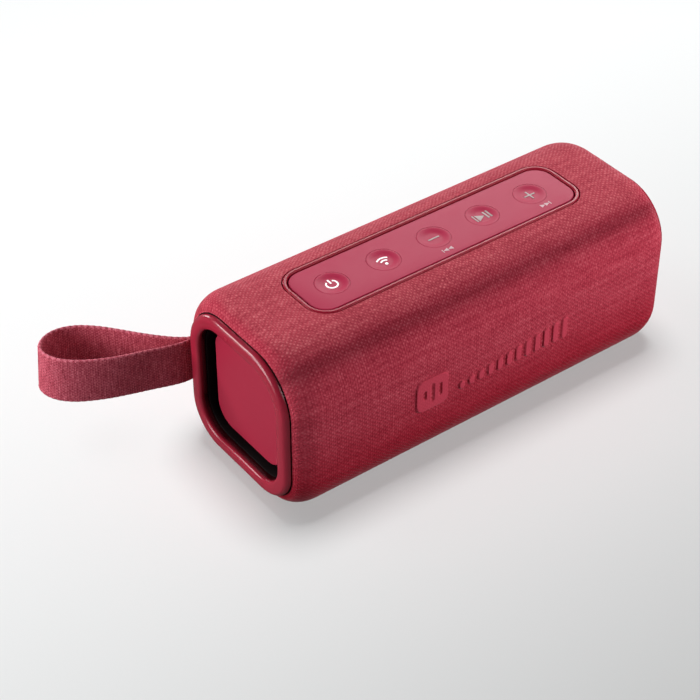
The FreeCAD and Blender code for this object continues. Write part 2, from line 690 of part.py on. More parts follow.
def enclosure_tub():
    """Rear part of the enclosure, open to the front."""
    boss_y, boss_bore = -10, 1.0
    post_root_y, post_rad, post_bore = 30.5, 2.5, 0.85
    control_post_rad, control_post_root = 2.2, 0.5
    part = body("enclosure_tub")
    enclosure_block(part, dims.cavity_w, rear_split - 20, 40)
    # channel under the key panel, with a ledge for the key mat
    channel = rounded(sketch(part, "XY", 0, 0, dims.channel_step),
                      dims.channel_w, dims.channel_h, 7.6)
    cut(part, channel, 20)
    channel = rounded(sketch(part, "XY", 0, 0, dims.channel_z),
                      dims.channel_low_w, dims.channel_low_h, 3.4)
    cut(part, channel, 20)
    # radiator window, peg holes and frame screw holes at each end
    outside = enc_half + 1
    for side in (-1, 1):
        across_end(cut, part, side, enc_half - 3, outside, rounded,
                   dims.frame_open_w, dims.frame_open_h, 12)
        across_end(cut, part, side, enc_half - 1.8, outside, circles, dims.peg_rad + 0.1, PEGS)
        across_end(cut, part, side, enc_half - 4, outside, circles, 1.05, FRAME_SCREWS)
    # screw bosses for the baffle
    round_set(pad, part, boss_y, BOSS_RAD, BOLTS, boss_y - rear_split)
    round_set(cut, part, boss_y - 1, boss_bore, BOLTS, 20)
    # posts for the main board, on the rear wall
    round_set(pad, part, post_root_y, post_rad, BOARD_SCREWS, post_root_y - board_back)
    round_set(cut, part, post_root_y - 1.5, post_bore, BOARD_SCREWS, 20)
    # posts for the control board, on the channel floor
    root = dims.channel_z - control_post_root
    posts = circles(sketch(part, "XY", 0, 0, root), control_post_rad, CONTROL_SCREWS)
    pad(part, posts, dims.control_z - root)
    bores = circles(sketch(part, "XY", 0, 0, dims.channel_z - 2), post_bore, CONTROL_SCREWS)
    cut(part, bores, 8)
    # slot for the flat cable
    cut(part, rectangle(sketch(part, "XY", 20, 6.0, 50), 12, 1.4), 12)
    # socket windows in the rear wall: x, width, height
    for x, width, height in ((dims.usb_x, 10.0, 4.4), (dims.aux_x, AUX_HOLE, AUX_HOLE)):
        window = rectangle(sketch(part, "XZ", 0, dims.port_z, -29), width, height, x)
        cut(part, window, 6, along=False)


def enclosure_baffle():
    """Front part of the enclosure, which carries the drivers."""
    well_start, well_len, boss_len = 25.3, 4.2, 3.9
    behind = 20  # the holes start this far in front of the middle, inside the cavity
    flange_bore, bolt_hole, bolt_head = 0.8, 1.35, 2.4
    part = body("enclosure_baffle")
    enclosure_block(part, 58.4, front_split + 35, 70)

    def at_drivers(make, lift, radius, spots, length):
        make(part, circles(sketch(part, "XZ", 0, dims.driver_z, lift), radius, spots), length)

    at_drivers(pad, well_start, dims.driver_well, DRIVER_SPOTS, well_len)
    round_set(pad, part, front_split, BOSS_RAD, BOLTS, boss_len)
    at_drivers(cut, -dims.driver_seat, dims.driver_recess, DRIVER_SPOTS, 10)
    at_drivers(cut, behind, dims.driver_hole, DRIVER_SPOTS, 12)
    at_drivers(cut, behind, flange_bore, DRIVER_SCREWS, 12)
    round_set(cut, part, -behind, bolt_hole, BOLTS, 20)
    round_set(cut, part, -BOLT_SEAT, bolt_head, BOLTS, 12)


def enclosure_gasket():
    middle_z, play = 32.6, 0.02
    part = body("enclosure_gasket")
    outline = rounded(sketch(part, "XZ", 0, middle_z, -rear_split + play), 154.4, 51.4, 6)
    pad(part, outline, dims.seal_t - 2 * play)
    cut(part, rounded(sketch(part, "XZ", 0, middle_z, 20), 150.8, 47.6, 4), 10)


# ------------------------------------------------------------------ fasteners
def screws(label, head_r, head_h, shank_r, shank_len, places):
    """Cross-head screws; places holds (point under the head, direction the head faces)."""
    master = body("screw_pattern_" + new_name("m"), exported=False)
    spin(master, polygon(sketch(master, "XZ"), [
        (0, -shank_len), (shank_r * 0.6, -shank_len), (shank_r, -shank_len + 0.8), (shank_r, 0),
        (head_r, 0), (head_r, head_h * 0.55), (head_r * 0.72, head_h), (0, head_h)]))
    slot_len, slot_w, slot_z = head_r * 1.15, head_r * 0.3, head_h * 0.45
    cut(master, rectangle(sketch(master, "XY", 0, 0, slot_z), slot_len, slot_w), head_h)
    cut(master, rectangle(sketch(master, "XY", 0, 0, slot_z), slot_w, slot_len), head_h)
    doc.recompute()
    copies = []
    for point, facing in places:
        copy = master.Shape.copy()
        copy.Placement = App.Placement(Vec(*[size(a).value for a in point]),
                                       App.Rotation(Vec(0, 0, 1), Vec(*facing)))
        copies.append(copy)
    fixed_shape("Screws", label, Part.makeCompound(copies))


def all_screws():
    front, top = (0, -1, 0), (0, 0, 1)
    screws("radiator_screws", head_r=1.9, head_h=1.5, shank_r=1.0, shank_len=4.2,
           places=[((side * (frame_face + HEAD_GAP), y, mid_z + z), (side, 0, 0))
                   for side in (-1, 1) for y, z in FRAME_SCREWS])
    screws("enclosure_screws", head_r=2.2, head_h=1.6, shank_r=0.95, shank_len=13.5,
           places=[((x, -BOLT_SEAT - HEAD_GAP, z), front) for x, z in BOLTS])
    screws("driver_screws", head_r=1.45, head_h=1.1, shank_r=0.75, shank_len=4.0,
           places=[((x, -DRIVER_FACE - HEAD_GAP, dims.driver_z + z), front)
                   for x, z in DRIVER_SCREWS])
    screws("board_screws", head_r=1.7, head_h=1.2, shank_r=0.8, shank_len=5.5,
           places=[((x, dims.board_y - HEAD_GAP, z), front) for x, z in BOARD_SCREWS])
    screws("control_board_screws", head_r=1.7, head_h=1.1, shank_r=0.8, shank_len=2.9,
           places=[((x, y, control_top + HEAD_GAP), top) for x, y in CONTROL_SCREWS])


# ------------------------------------------------------------------ drivers
# Turned outlines are lists of (radius from the driver's axis, y); the front is -Y.
BASKET = [
    (17.2, -29.0), (17.2, -28.0), (15.3, -16.5), (15.3, -15.6), (13.6, -15.6), (13.6, -14.6),
    (16.4, -14.6), (16.4, -16.5), (18.4, -28.1), (22.5, -28.1), (22.5, -DRIVER_FACE),
    (19.4, -DRIVER_FACE), (19.4, -29.0)]
CONE = [(14.1, -29.0), (6.95, -20.3), (6.95, -19.7), (14.1, -28.4)]
DUST_CAP = [(0, -24.5), (3.5, -24.2), (6.0, -23.3), (8.0, -21.9),
            (8.0, -21.2), (6.0, -22.8), (3.5, -23.7), (0, -24.0)]
VOICE_COIL = [(6.7, -20.5), (6.9, -20.5), (6.9, -14.5), (7.3, -14.5), (7.3, -9.5), (6.7, -9.5)]
SPIDER_FRONT = [(7.0, -16.3), (8.2, -16.3), (9.2, -16.9), (10.4, -16.0),
                (11.6, -16.9), (12.8, -16.0), (13.6, -16.2), (15.2, -16.2)]
SPIDER_T = 0.4
BACK_PLATE = [(0, -14.5), (6.3, -14.5), (6.3, -5.45), (15.0, -5.45), (15.0, -2.5), (0, -2.5)]


def ring_outline(inner_r, outer_r, front_y, back_y):
    return [(inner_r, front_y), (outer_r, front_y), (outer_r, back_y), (inner_r, back_y)]


def surround_outline():
    """Half roll bulging to the front, with flat edges inside and outside it."""
    middle_r, roll_r, thick, steps = 15.9, 1.7, 0.35, 8
    back_y, flat_y, inner_r, outer_r = -29.05, -29.4, 12.6, 19.3

    def roll(radius, order):
        return [(middle_r + radius * math.cos(math.pi * i / steps),
                 back_y - radius * math.sin(math.pi * i / steps)) for i in order]

    front = roll(roll_r, range(steps + 1))
    back = roll(roll_r - thick, range(steps, -1, -1))
    return ([(outer_r, back_y), (outer_r, flat_y)] + [(r, y) for r, y in front if y < -29.39]
            + [(inner_r, flat_y), (inner_r, back_y)] + back)


def lathe(label, side, *outlines, exported=True):
    """Piece turned about the axis of one driver."""
    part = body(label, exported)
    part.Placement = App.Placement(Vec(side * dims.driver_x.value, 0, dims.driver_z.value),
                                   App.Rotation())
    bind(part, "Placement.Base.x", side * dims.driver_x)
    bind(part, "Placement.Base.z", dims.driver_z)
    for outline in outlines:
        spin(part, polygon(sketch(part, "XY"), outline))
    return part


def driver(name, side):
    basket = lathe("driver_basket_" + name, side, BASKET)
    # side, top and bottom windows, then the flange screw holes
    window_deep, window_w, window_y = 7.6, 13, -22.2
    window = rectangle(sketch(basket, "YZ", 0, 0, -30), window_deep, window_w, window_y, 0)
    cut(basket, window, 60)
    window = rectangle(sketch(basket, "XY", 0, 0, -30), window_w, window_deep, 0, window_y)
    cut(basket, window, 60)
    round_set(cut, basket, -27, 0.85, FLANGE_SCREWS, 5)

    lathe("driver_surround_" + name, side, surround_outline())
    lathe("driver_cone_" + name, side, CONE, DUST_CAP)
    lathe("voice_coil_" + name, side, VOICE_COIL)
    spider_back = [(radius, y + SPIDER_T) for radius, y in reversed(SPIDER_FRONT)]
    lathe("driver_spider_" + name, side, SPIDER_FRONT + spider_back)
    lathe("driver_magnet_" + name, side, ring_outline(9.0, 16.0, -11.45, -5.5))
    # steel circuit: front plate, and back plate with its pole, as two separate solids
    front_plate = lathe("front_plate_" + name, side, ring_outline(7.6, 15.0, -14.5, -11.5),
                        exported=False)
    back_plate = lathe("back_plate_" + name, side, BACK_PLATE, exported=False)
    group("driver_yoke_" + name, [front_plate, back_plate])


def driver_gaskets():
    front_y, back_y = -28.08, -27.52
    rings = []
    for letter, side in (("l", -1), ("r", 1)):
        for kind, inner_r, outer_r in (("ring", 19.7, 20.0), ("outer", 21.95, 22.4)):
            outline = ring_outline(inner_r, outer_r, front_y, back_y)
            rings.append(lathe("gasket_%s_%s" % (kind, letter), side, outline, exported=False))
    group("driver_gaskets", rings)


# ------------------------------------------------------------------ electronics
# x of the left side, z of the underside, width, height, thickness
CHIPS = [(4, 40, 9, 9, 1.2), (19, 33, 7, 7, 1.0), (30, 43, 6, 6, 2.6), (38, 43.5, 6, 6, 2.6),
         (17, 44, 5, 4, 0.9), (28, 31.5, 9, 5, 3.6), (59.5, 42, 6, 8, 1.0)]
# round components: x and z of the axis, radius, length
CANS = [(10, 34.5, 2.5, 5.4), (61.5, 36.5, 2.5, 5.4), (49, 48, 3.1, 6.0)]


def main_board():
    """Upright board inside the rear wall, with its components on the front side."""
    part = body("main_board")
    pad(part, rounded(sketch(part, "XZ", 32, 41, -board_back), 80, 26, 2), dims.board_t)
    round_set(cut, part, board_back + 1, 1.1, BOARD_SCREWS, 6)
    drawing = sketch(part, "XZ", 0, dims.port_z, -board_back - 1)
    cut(part, rectangle(drawing, AUX_HOLE, AUX_HOLE, dims.aux_x, 0), 6)
    to_front = App.Rotation(Vec(0, 0, 1), Vec(0, -1, 0))
    parts = [prim("Box", (x, dims.board_y - thick, z), Length=width, Width=thick, Height=height)
             for x, z, width, height, thick in CHIPS]
    parts += [prim("Cylinder", (x, dims.board_y, z), to_front, Radius=radius, Height=length)
              for x, z, radius, length in CANS]
    group("board_components", parts)


def usb_socket():
    width, height, corner_r, wall, mouth_y = 8.94, 3.2, 1.55, 0.3, 33.2
    tongue_w, tongue_h, tongue_len, tongue_y = 6.7, 0.7, 6.5, 32.6
    part = body("usb_socket")

    def at_socket(y):
        return sketch(part, "XZ", dims.usb_x, dims.port_z, -y)

    pad(part, rounded(at_socket(mouth_y), width, height, corner_r), mouth_y - board_back)
    mouth = rounded(at_socket(mouth_y + 1), width - 2 * wall, height - 2 * wall, corner_r - wall)
    cut(part, mouth, 7.0)
    pad(part, rectangle(at_socket(tongue_y), tongue_w, tongue_h), tongue_len)


def aux_socket():
    block_w, block_y, block_len = 7.4, 32.4, 14.9
    collar_rad, collar_y, collar_len = 2.9, 33.4, 2
    bore_y, bore_len = 34, 14.6
    part = body("aux_socket")

    def at_socket(y):
        return sketch(part, "XZ", dims.aux_x, dims.port_z, -y)

    pad(part, rectangle(at_socket(block_y), block_w, block_w), block_len)
    pad(part, circles(at_socket(collar_y), collar_rad), collar_len)
    cut(part, circles(at_socket(bore_y), dims.aux_bore), bore_len)


def on_hinge(make, part, radius, length):
    drawing = sketch(part, "YZ", dims.flap_axis_y, dims.flap_axis_z, dims.port_x - length / 2)
    make(part, circles(drawing, radius), length)


def port_panel():
    """Recessed panel round the sockets."""
    rear_y, thick = 35.35, 2.8
    recess_z, recess_deep = 35.8, 1.6
    notch_z, notch_rad = 44.4, 3.4
    cut_y = 36
    part = body("port_panel")
    outline = rounded(sketch(part, "XZ", dims.port_x, dims.port_z, -rear_y),
                      dims.port_w, dims.port_h, PORT_R)
    pad(part, outline, thick)
    recess = rounded(sketch(part, "XZ", dims.port_x, recess_z, -rear_y - 1), 34, 14.4, 4, 1.2)
    cut(part, recess, recess_deep + 1)
    cut(part, rounded(sketch(part, "XZ", dims.usb_x, dims.port_z, -cut_y), 9.4, 3.7, 1.8), 5)
    cut(part, circles(sketch(part, "XZ", dims.aux_x, dims.port_z, -cut_y), 3.1), 5)
    on_hinge(cut, part, 0.5, 35.2)
    cut(part, circles(sketch(part, "XZ", dims.port_x, notch_z, -cut_y), notch_rad), 1.7)


def port_flap():
    """Flap over the sockets, hinged along its lower edge."""
    rear_y, middle_z, rib_y, rib_z = 35.3, 36.35, 35.65, 41.2
    part = body("port_flap")
    outline = rounded(sketch(part, "XZ", dims.port_x, middle_z, -rear_y), 33.6, 12.9, 3.7, 0.3)
    plate = pad(part, outline, 1.45)
    on_rear = edges_at("Y", rear_y)
    # every rear edge but the lowest
    fillet(part, plate, 0.4, lambda edge: on_rear(edge) and edge.BoundBox.ZMax > 31)
    on_hinge(pad, part, 0.7, 33.6)
    on_hinge(pad, part, 0.45, 34.8)
    # rib across the rear face
    pad(part, rounded(sketch(part, "XZ", dims.port_x, rib_z, -rib_y), 9, 1.0, 0.45), 0.6)


def batteries():
    """Two cells end to end along X, in a cradle with a round trough."""
    cell_gap = 0.8  # from the middle to each cell
    cradle_len, cradle_w, cradle_h, cradle_z = 124, 15, 5.6, 6.45
    trough_len = 140
    along_x = App.Rotation(Vec(0, 1, 0), 90)
    group("battery_cells", [
        prim("Cylinder", (x, dims.cell_y, dims.cell_z), along_x,
             Radius=dims.cell_rad, Height=dims.cell_len)
        for x in (-(cell_gap + dims.cell_len), cell_gap)])
    block = prim("Box", (-cradle_len / 2, dims.cell_y - cradle_w / 2, cradle_z),
                 Length=cradle_len, Width=cradle_w, Height=cradle_h)
    trough = prim("Cylinder", (-trough_len / 2, dims.cell_y, dims.cell_z), along_x,
                  Radius=dims.cell_rad + 0.05, Height=trough_len)
    publish(minus(block, trough), "battery_cradle")


# ------------------------------------------------------------------ wiring
# (x, y, z) along the lower lead of each driver's pair
LEFT_LEAD = [(-22.8, -20.0, 35.5), (-20.0, -14.0, 38), (-16.0, 0, 48), (-10.0, 14.0, 51),
             (0.5, 20.9, 48)]
RIGHT_LEAD = [(22.8, -20.0, 35.5), (21.5, -14.0, 38), (20.0, 0, 48), (14.0, 14.0, 52.5),
              (8.5, 20.9, 51)]
# (y, z) outline of the flat cable
FLAT_CABLE = [
    (5.85, 62.35), (6.15, 62.35), (6.15, 56.6), (7.6, 55.2), (19.2, 55.2), (20.4, 54.0),
    (20.4, 52.2), (21.95, 51.0), (21.95, 49.6), (21.65, 49.6), (21.65, 50.8), (20.1, 52.0),
    (20.1, 53.8), (19.0, 54.9), (7.4, 54.9), (5.85, 56.4)]


def lead(points, radius):
    curve = Part.BSplineCurve()
    curve.interpolate([Vec(*point) for point in points])
    tangent = curve.tangent(curve.FirstParameter)[0]
    outline = Part.Wire([Part.makeCircle(radius, Vec(*points[0]), tangent)])
    return Part.Wire([curve.toShape()]).makePipeShell([outline], True, True)


def wiring_loom():
    driver_lead_r, battery_lead_r = 0.6, 0.55
    cable_x, cable_w = 15.2, 9.6
    leads = []
    for shift in (0, 1.6):
        for route in (LEFT_LEAD, RIGHT_LEAD):
            leads.append(lead([(x, y, z + shift) for x, y, z in route], driver_lead_r))
        leads.append(lead([(0.0, 8.5 + shift, 17.5), (0.0, 11.0 + shift, 24.5),
                           (0.5, 14.5 + shift, 29.0), (0.6, 20.0, 36.0 + shift)],
                          battery_lead_r))
    outline = [Vec(cable_x, y, z) for y, z in FLAT_CABLE + FLAT_CABLE[:1]]
    leads.append(Part.Face(Part.makePolygon(outline)).extrude(Vec(cable_w, 0, 0)))
    fixed_shape("Leads", "wiring_loom", Part.makeCompound(leads))


# ------------------------------------------------------------------ wrist strap
# (x, y) along the centre line of the loop, from the neck out and back
LOOP = [
    (-87.6, 31.45), (-92.0, 31.75), (-97.0, 33.0), (-103.5, 35.2), (-110.5, 37.4),
    (-117.5, 39.9), (-124.5, 43.4), (-130.0, 47.2), (-133.8, 51.6), (-135.6, 56.4),
    (-135.2, 60.8), (-132.4, 64.0), (-128.0, 65.7), (-122.6, 65.4), (-117.0, 62.8),
    (-111.8, 58.4), (-106.8, 52.6), (-101.6, 46.0), (-96.4, 40.0), (-91.6, 35.3), (-87.6, 32.75)]


def offset_curve(curve, distance, steps=40):
    points = []
    for i in range(steps + 1):
        first, last = curve.FirstParameter, curve.LastParameter
        place = first + (last - first) * i / steps
        point, tangent = curve.value(place), curve.tangent(place)[0]
        points.append(Vec(point.x - tangent.y * distance, point.y + tangent.x * distance, 0))
    result = Part.BSplineCurve()
    result.interpolate(points)
    return result


def wrist_strap():
    """Flat webbing loop, joined by a neck to an eye round the steel bar."""
    publish(prim("Cylinder", (dims.pin_x, dims.pin_y, mid_z - dims.pin_len / 2),
                 Radius=dims.pin_rad, Height=dims.pin_len), "strap_pin")

    neck_x, neck_front_y, neck_rear_y = -88.3, 30.87, 33.8
    width, half_t = dims.web_w.value, dims.web_t.value / 2
    pin_x, pin_y = dims.pin_x.value, dims.pin_y.value
    eye_in = dims.pin_rad.value + 0.05
    eye_out = eye_in + dims.web_t.value
    rise = Vec(0, 0, width)

    centre = Part.BSplineCurve()
    centre.interpolate([Vec(x, y, 0) for x, y in LOOP])
    one, other = offset_curve(centre, -half_t), offset_curve(centre, half_t)
    one_start, one_end = one.value(one.FirstParameter), one.value(one.LastParameter)
    other_start, other_end = other.value(other.FirstParameter), other.value(other.LastParameter)
    outline = Part.Wire([one.toShape(), Part.makeLine(one_end, other_end),
                         other.toShape(), Part.makeLine(other_start, one_start)])
    ribbon = Part.Face(outline).extrude(rise)

    front = Vec(pin_x, pin_y - eye_out, 0)
    neck_points = [front, Vec(neck_x, neck_front_y, 0), Vec(neck_x, neck_rear_y, 0),
                   Vec(pin_x, pin_y + eye_out, 0), front]
    neck = Part.Face(Part.makePolygon(neck_points)).extrude(rise)
    eye = Part.makeCylinder(eye_out, width, Vec(pin_x, pin_y, 0))
    bore = Part.makeCylinder(eye_in, width + 2, Vec(pin_x, pin_y, -1))
    strap = eye.fuse([neck, ribbon]).cut(bore).removeSplitter()
    fixed_shape("Strap", "wrist_strap", strap, lift=mid_z.value - width / 2)


# ------------------------------------------------------------------ rubber feet
def rubber_feet():
    feet = []
    for label, y, length in FEET:
        part = body(label, exported=False)
        outline = rounded(sketch(part, "XY", 0, y, 0), length, dims.foot_h, FOOT_R)
        fillet(part, pad(part, outline, dims.foot_top), 0.4, edges_at("Z", 0.0))
        feet.append(part)
    group("feet", feet)


# ------------------------------------------------------------------ build
fabric_cover()
grille_sleeve()
for end, side in ENDS:
    end_ring(end, side)
for end, side in ENDS:
    radiator_frame(end, side)
    radiator_plate(end, side)
    radiator_weight(end, side)
    radiator_surround(end, side)
panel_trim_ring()
control_panel()
buttons()
key_electronics()
enclosure_tub()
enclosure_baffle()
enclosure_gasket()
all_screws()
for end, side in ENDS:
    driver(end, side)
driver_gaskets()
main_board()
usb_socket()
aux_socket()
port_panel()
port_flap()
batteries()
wiring_loom()
wrist_strap()
rubber_feet()

# ------------------------------------------------------------------ recompute, check, write
doc.recompute()
failed = [obj.Name + " (" + obj.Label + ")" for obj in doc.Objects
          if any(word in " ".join(obj.State) for word in ("Invalid", "Error"))]
if failed:
    raise SystemExit("failed objects: " + ", ".join(failed[:20]))
for piece in pieces:
    if piece.Shape.isNull() or not piece.Shape.isValid() or not piece.Shape.Solids:
        raise SystemExit("bad shape: " + piece.Label)
os.makedirs("parts", exist_ok=True)
for name in os.listdir("parts"):
    if name.endswith(".step"):
        os.remove(os.path.join("parts", name))
for piece in pieces:
    piece.Shape.exportStep("parts/%s.step" % piece.Label)
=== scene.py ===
import bpy
import bmesh
import math
import numpy as np
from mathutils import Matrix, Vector


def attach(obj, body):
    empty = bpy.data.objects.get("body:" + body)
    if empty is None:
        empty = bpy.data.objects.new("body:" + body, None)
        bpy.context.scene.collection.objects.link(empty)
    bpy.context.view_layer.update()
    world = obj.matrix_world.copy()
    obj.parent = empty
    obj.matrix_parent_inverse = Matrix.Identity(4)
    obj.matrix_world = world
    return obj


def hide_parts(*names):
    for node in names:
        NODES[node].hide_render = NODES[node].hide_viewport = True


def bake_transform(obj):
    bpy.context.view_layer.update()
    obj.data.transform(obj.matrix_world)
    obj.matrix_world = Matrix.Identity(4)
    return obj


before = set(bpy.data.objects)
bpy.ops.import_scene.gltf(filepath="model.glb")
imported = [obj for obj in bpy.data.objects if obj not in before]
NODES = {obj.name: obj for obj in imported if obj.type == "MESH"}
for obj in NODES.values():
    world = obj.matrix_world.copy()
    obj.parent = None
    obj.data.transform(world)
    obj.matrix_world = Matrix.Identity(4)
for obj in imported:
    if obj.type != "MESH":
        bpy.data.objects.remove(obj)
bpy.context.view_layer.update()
scene = bpy.context.scene
MM = 0.001

# ---------------------------------------------------------------- shared sizes, as in the CAD frame
BODY_DEPTH, BODY_HEIGHT, BODY_BOTTOM = 71.0, 71.5, 1.0
MID_Z = BODY_BOTTOM + BODY_HEIGHT / 2
TOP_RADIUS, BOTTOM_RADIUS = 23.0, 19.5
STRAIGHT = 77.3  # half length of the constant section
TAPER, TAPER_IN = 10.2, 5.2  # length of each rounded-in end, and how far it draws in
OPENING = (49.0, 50.2, 14.0, 12.0)  # end ring opening: depth, height, top and bottom corner radii
SIDES = {"left": -1, "right": 1}

KEYS = ("power", "pairing", "volume_down", "play_pause", "volume_up")
KEY_PITCH, MIDDLE_KEY_X = 23.2, -0.7
KEY_X = {key: MIDDLE_KEY_X + KEY_PITCH * (i - 2) for i, key in enumerate(KEYS)}
PANEL_TOP = 72.35


# ---------------------------------------------------------------- mesh helpers
def link(o):
    scene.collection.objects.link(o)
    return o


def make(name, verts, faces, smooth=True):
    """A linked mesh object from vertices in mm."""
    mesh = bpy.data.meshes.new(name)
    verts = np.asarray(verts, float) * MM
    mesh.from_pydata(verts.tolist(), [], [list(map(int, f)) for f in faces])
    mesh.update()
    if smooth:
        mesh.polygons.foreach_set("use_smooth", [True] * len(mesh.polygons))
    return link(bpy.data.objects.new(name, mesh))


def add_weave_uv(o, corner_uvs):
    layer = o.data.uv_layers.new(name="weave")
    layer.data.foreach_set("uv", np.asarray(corner_uvs, np.float32).ravel())


def add_attribute(o, name, values):
    attribute = o.data.attributes.new(name, "FLOAT", "POINT")
    attribute.data.foreach_set("value", np.asarray(values, np.float32).ravel())


def smooth_by_angle(o, degrees):
    """Sharp edges where faces meet at more than this angle, the rest smooth."""
    bm = bmesh.new()
    bm.from_mesh(o.data)
    limit = math.radians(degrees)
    for e in bm.edges:
        if len(e.link_faces) == 2:
            e.smooth = e.calc_face_angle(0.0) < limit
    for f in bm.faces:
        f.smooth = True
    bm.to_mesh(o.data)
    bm.free()


def fix_normals(o):
    bm = bmesh.new()
    bm.from_mesh(o.data)
    bmesh.ops.recalc_face_normals(bm, faces=bm.faces)
    bm.to_mesh(o.data)
    bm.free()


def grid_faces(rows, cols, close_rows=False, close_cols=False, turned=False):
    """Quads of a grid of vertices stored row by row; turned reverses the winding."""
    faces = []
    for i in range(rows if close_rows else rows - 1):
        here, there = i * cols, (i + 1) % rows * cols
        for j in range(cols if close_cols else cols - 1):
            k = (j + 1) % cols
            if turned:
                faces.append((here + j, there + j, there + k, here + k))
            else:
                faces.append((here + j, here + k, there + k, there + j))
    return faces


def circle_pts(r, a0, a1, n, cx=0.0, cy=0.0):
    """n + 1 points of an arc from a0 to a1 degrees."""
    angles = [math.radians(a0 + (a1 - a0) * i / n) for i in range(n + 1)]
    return [(cx + r * math.cos(a), cy + r * math.sin(a)) for a in angles]


def rrect(w, h, top_r, bottom_r=None, n=10, cx=0.0, cy=0.0):
    """Points of a rounded rectangle, anticlockwise from the right side."""
    rt = top_r
    rb = top_r if bottom_r is None else bottom_r
    x, y = w / 2, h / 2
    corners = ((x - rt, y - rt, rt, 0), (-x + rt, y - rt, rt, 90),
               (-x + rb, -y + rb, rb, 180), (x - rb, -y + rb, rb, 270))
    pts = []
    for px, py, r, a0 in corners:
        pts += circle_pts(r, a0, a0 + 90, n, cx + px, cy + py)
    return pts


def smoothstep(t):
    t = np.clip(t, 0, 1)
    return t * t * (3 - 2 * t)


def prism(name, outline, low, high, axis="Z"):
    """A solid that fills the outline from low to high along Z, or along Y for an (x, z) outline."""
    n = len(outline)
    verts = [(x, y, level) for level in (low, high) for x, y in outline]
    if axis == "Y":
        verts = [(x, y, z) for x, z, y in verts]
    caps = [tuple(range(n - 1, -1, -1)), tuple(range(n, 2 * n))]
    o = make(name, verts, caps + grid_faces(2, n, close_cols=True), smooth=False)
    fix_normals(o)
    return o


def cut_away(o, cutters, keep_layers=False):
    """Subtract the cutters from o for good and remove them."""
    for cutter in cutters:
        mod = o.modifiers.new("cut", "BOOLEAN")
        mod.operation = "DIFFERENCE"
        mod.solver = "EXACT"
        mod.object = cutter
    graph = bpy.context.evaluated_depsgraph_get()
    result = bpy.data.meshes.new_from_object(
        o.evaluated_get(graph), preserve_all_data_layers=keep_layers, depsgraph=graph)
    o.modifiers.clear()
    o.data = result
    for cutter in cutters:
        bpy.data.objects.remove(cutter)


def fit(o, material, cad_node, body=None, replaces=True):
    """Set the material and the body that carries o, and hide the CAD node it replaces when replaces is true."""
    if body:
        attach(o, body)
    if replaces:
        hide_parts(cad_node)
    o.data.materials.append(material)


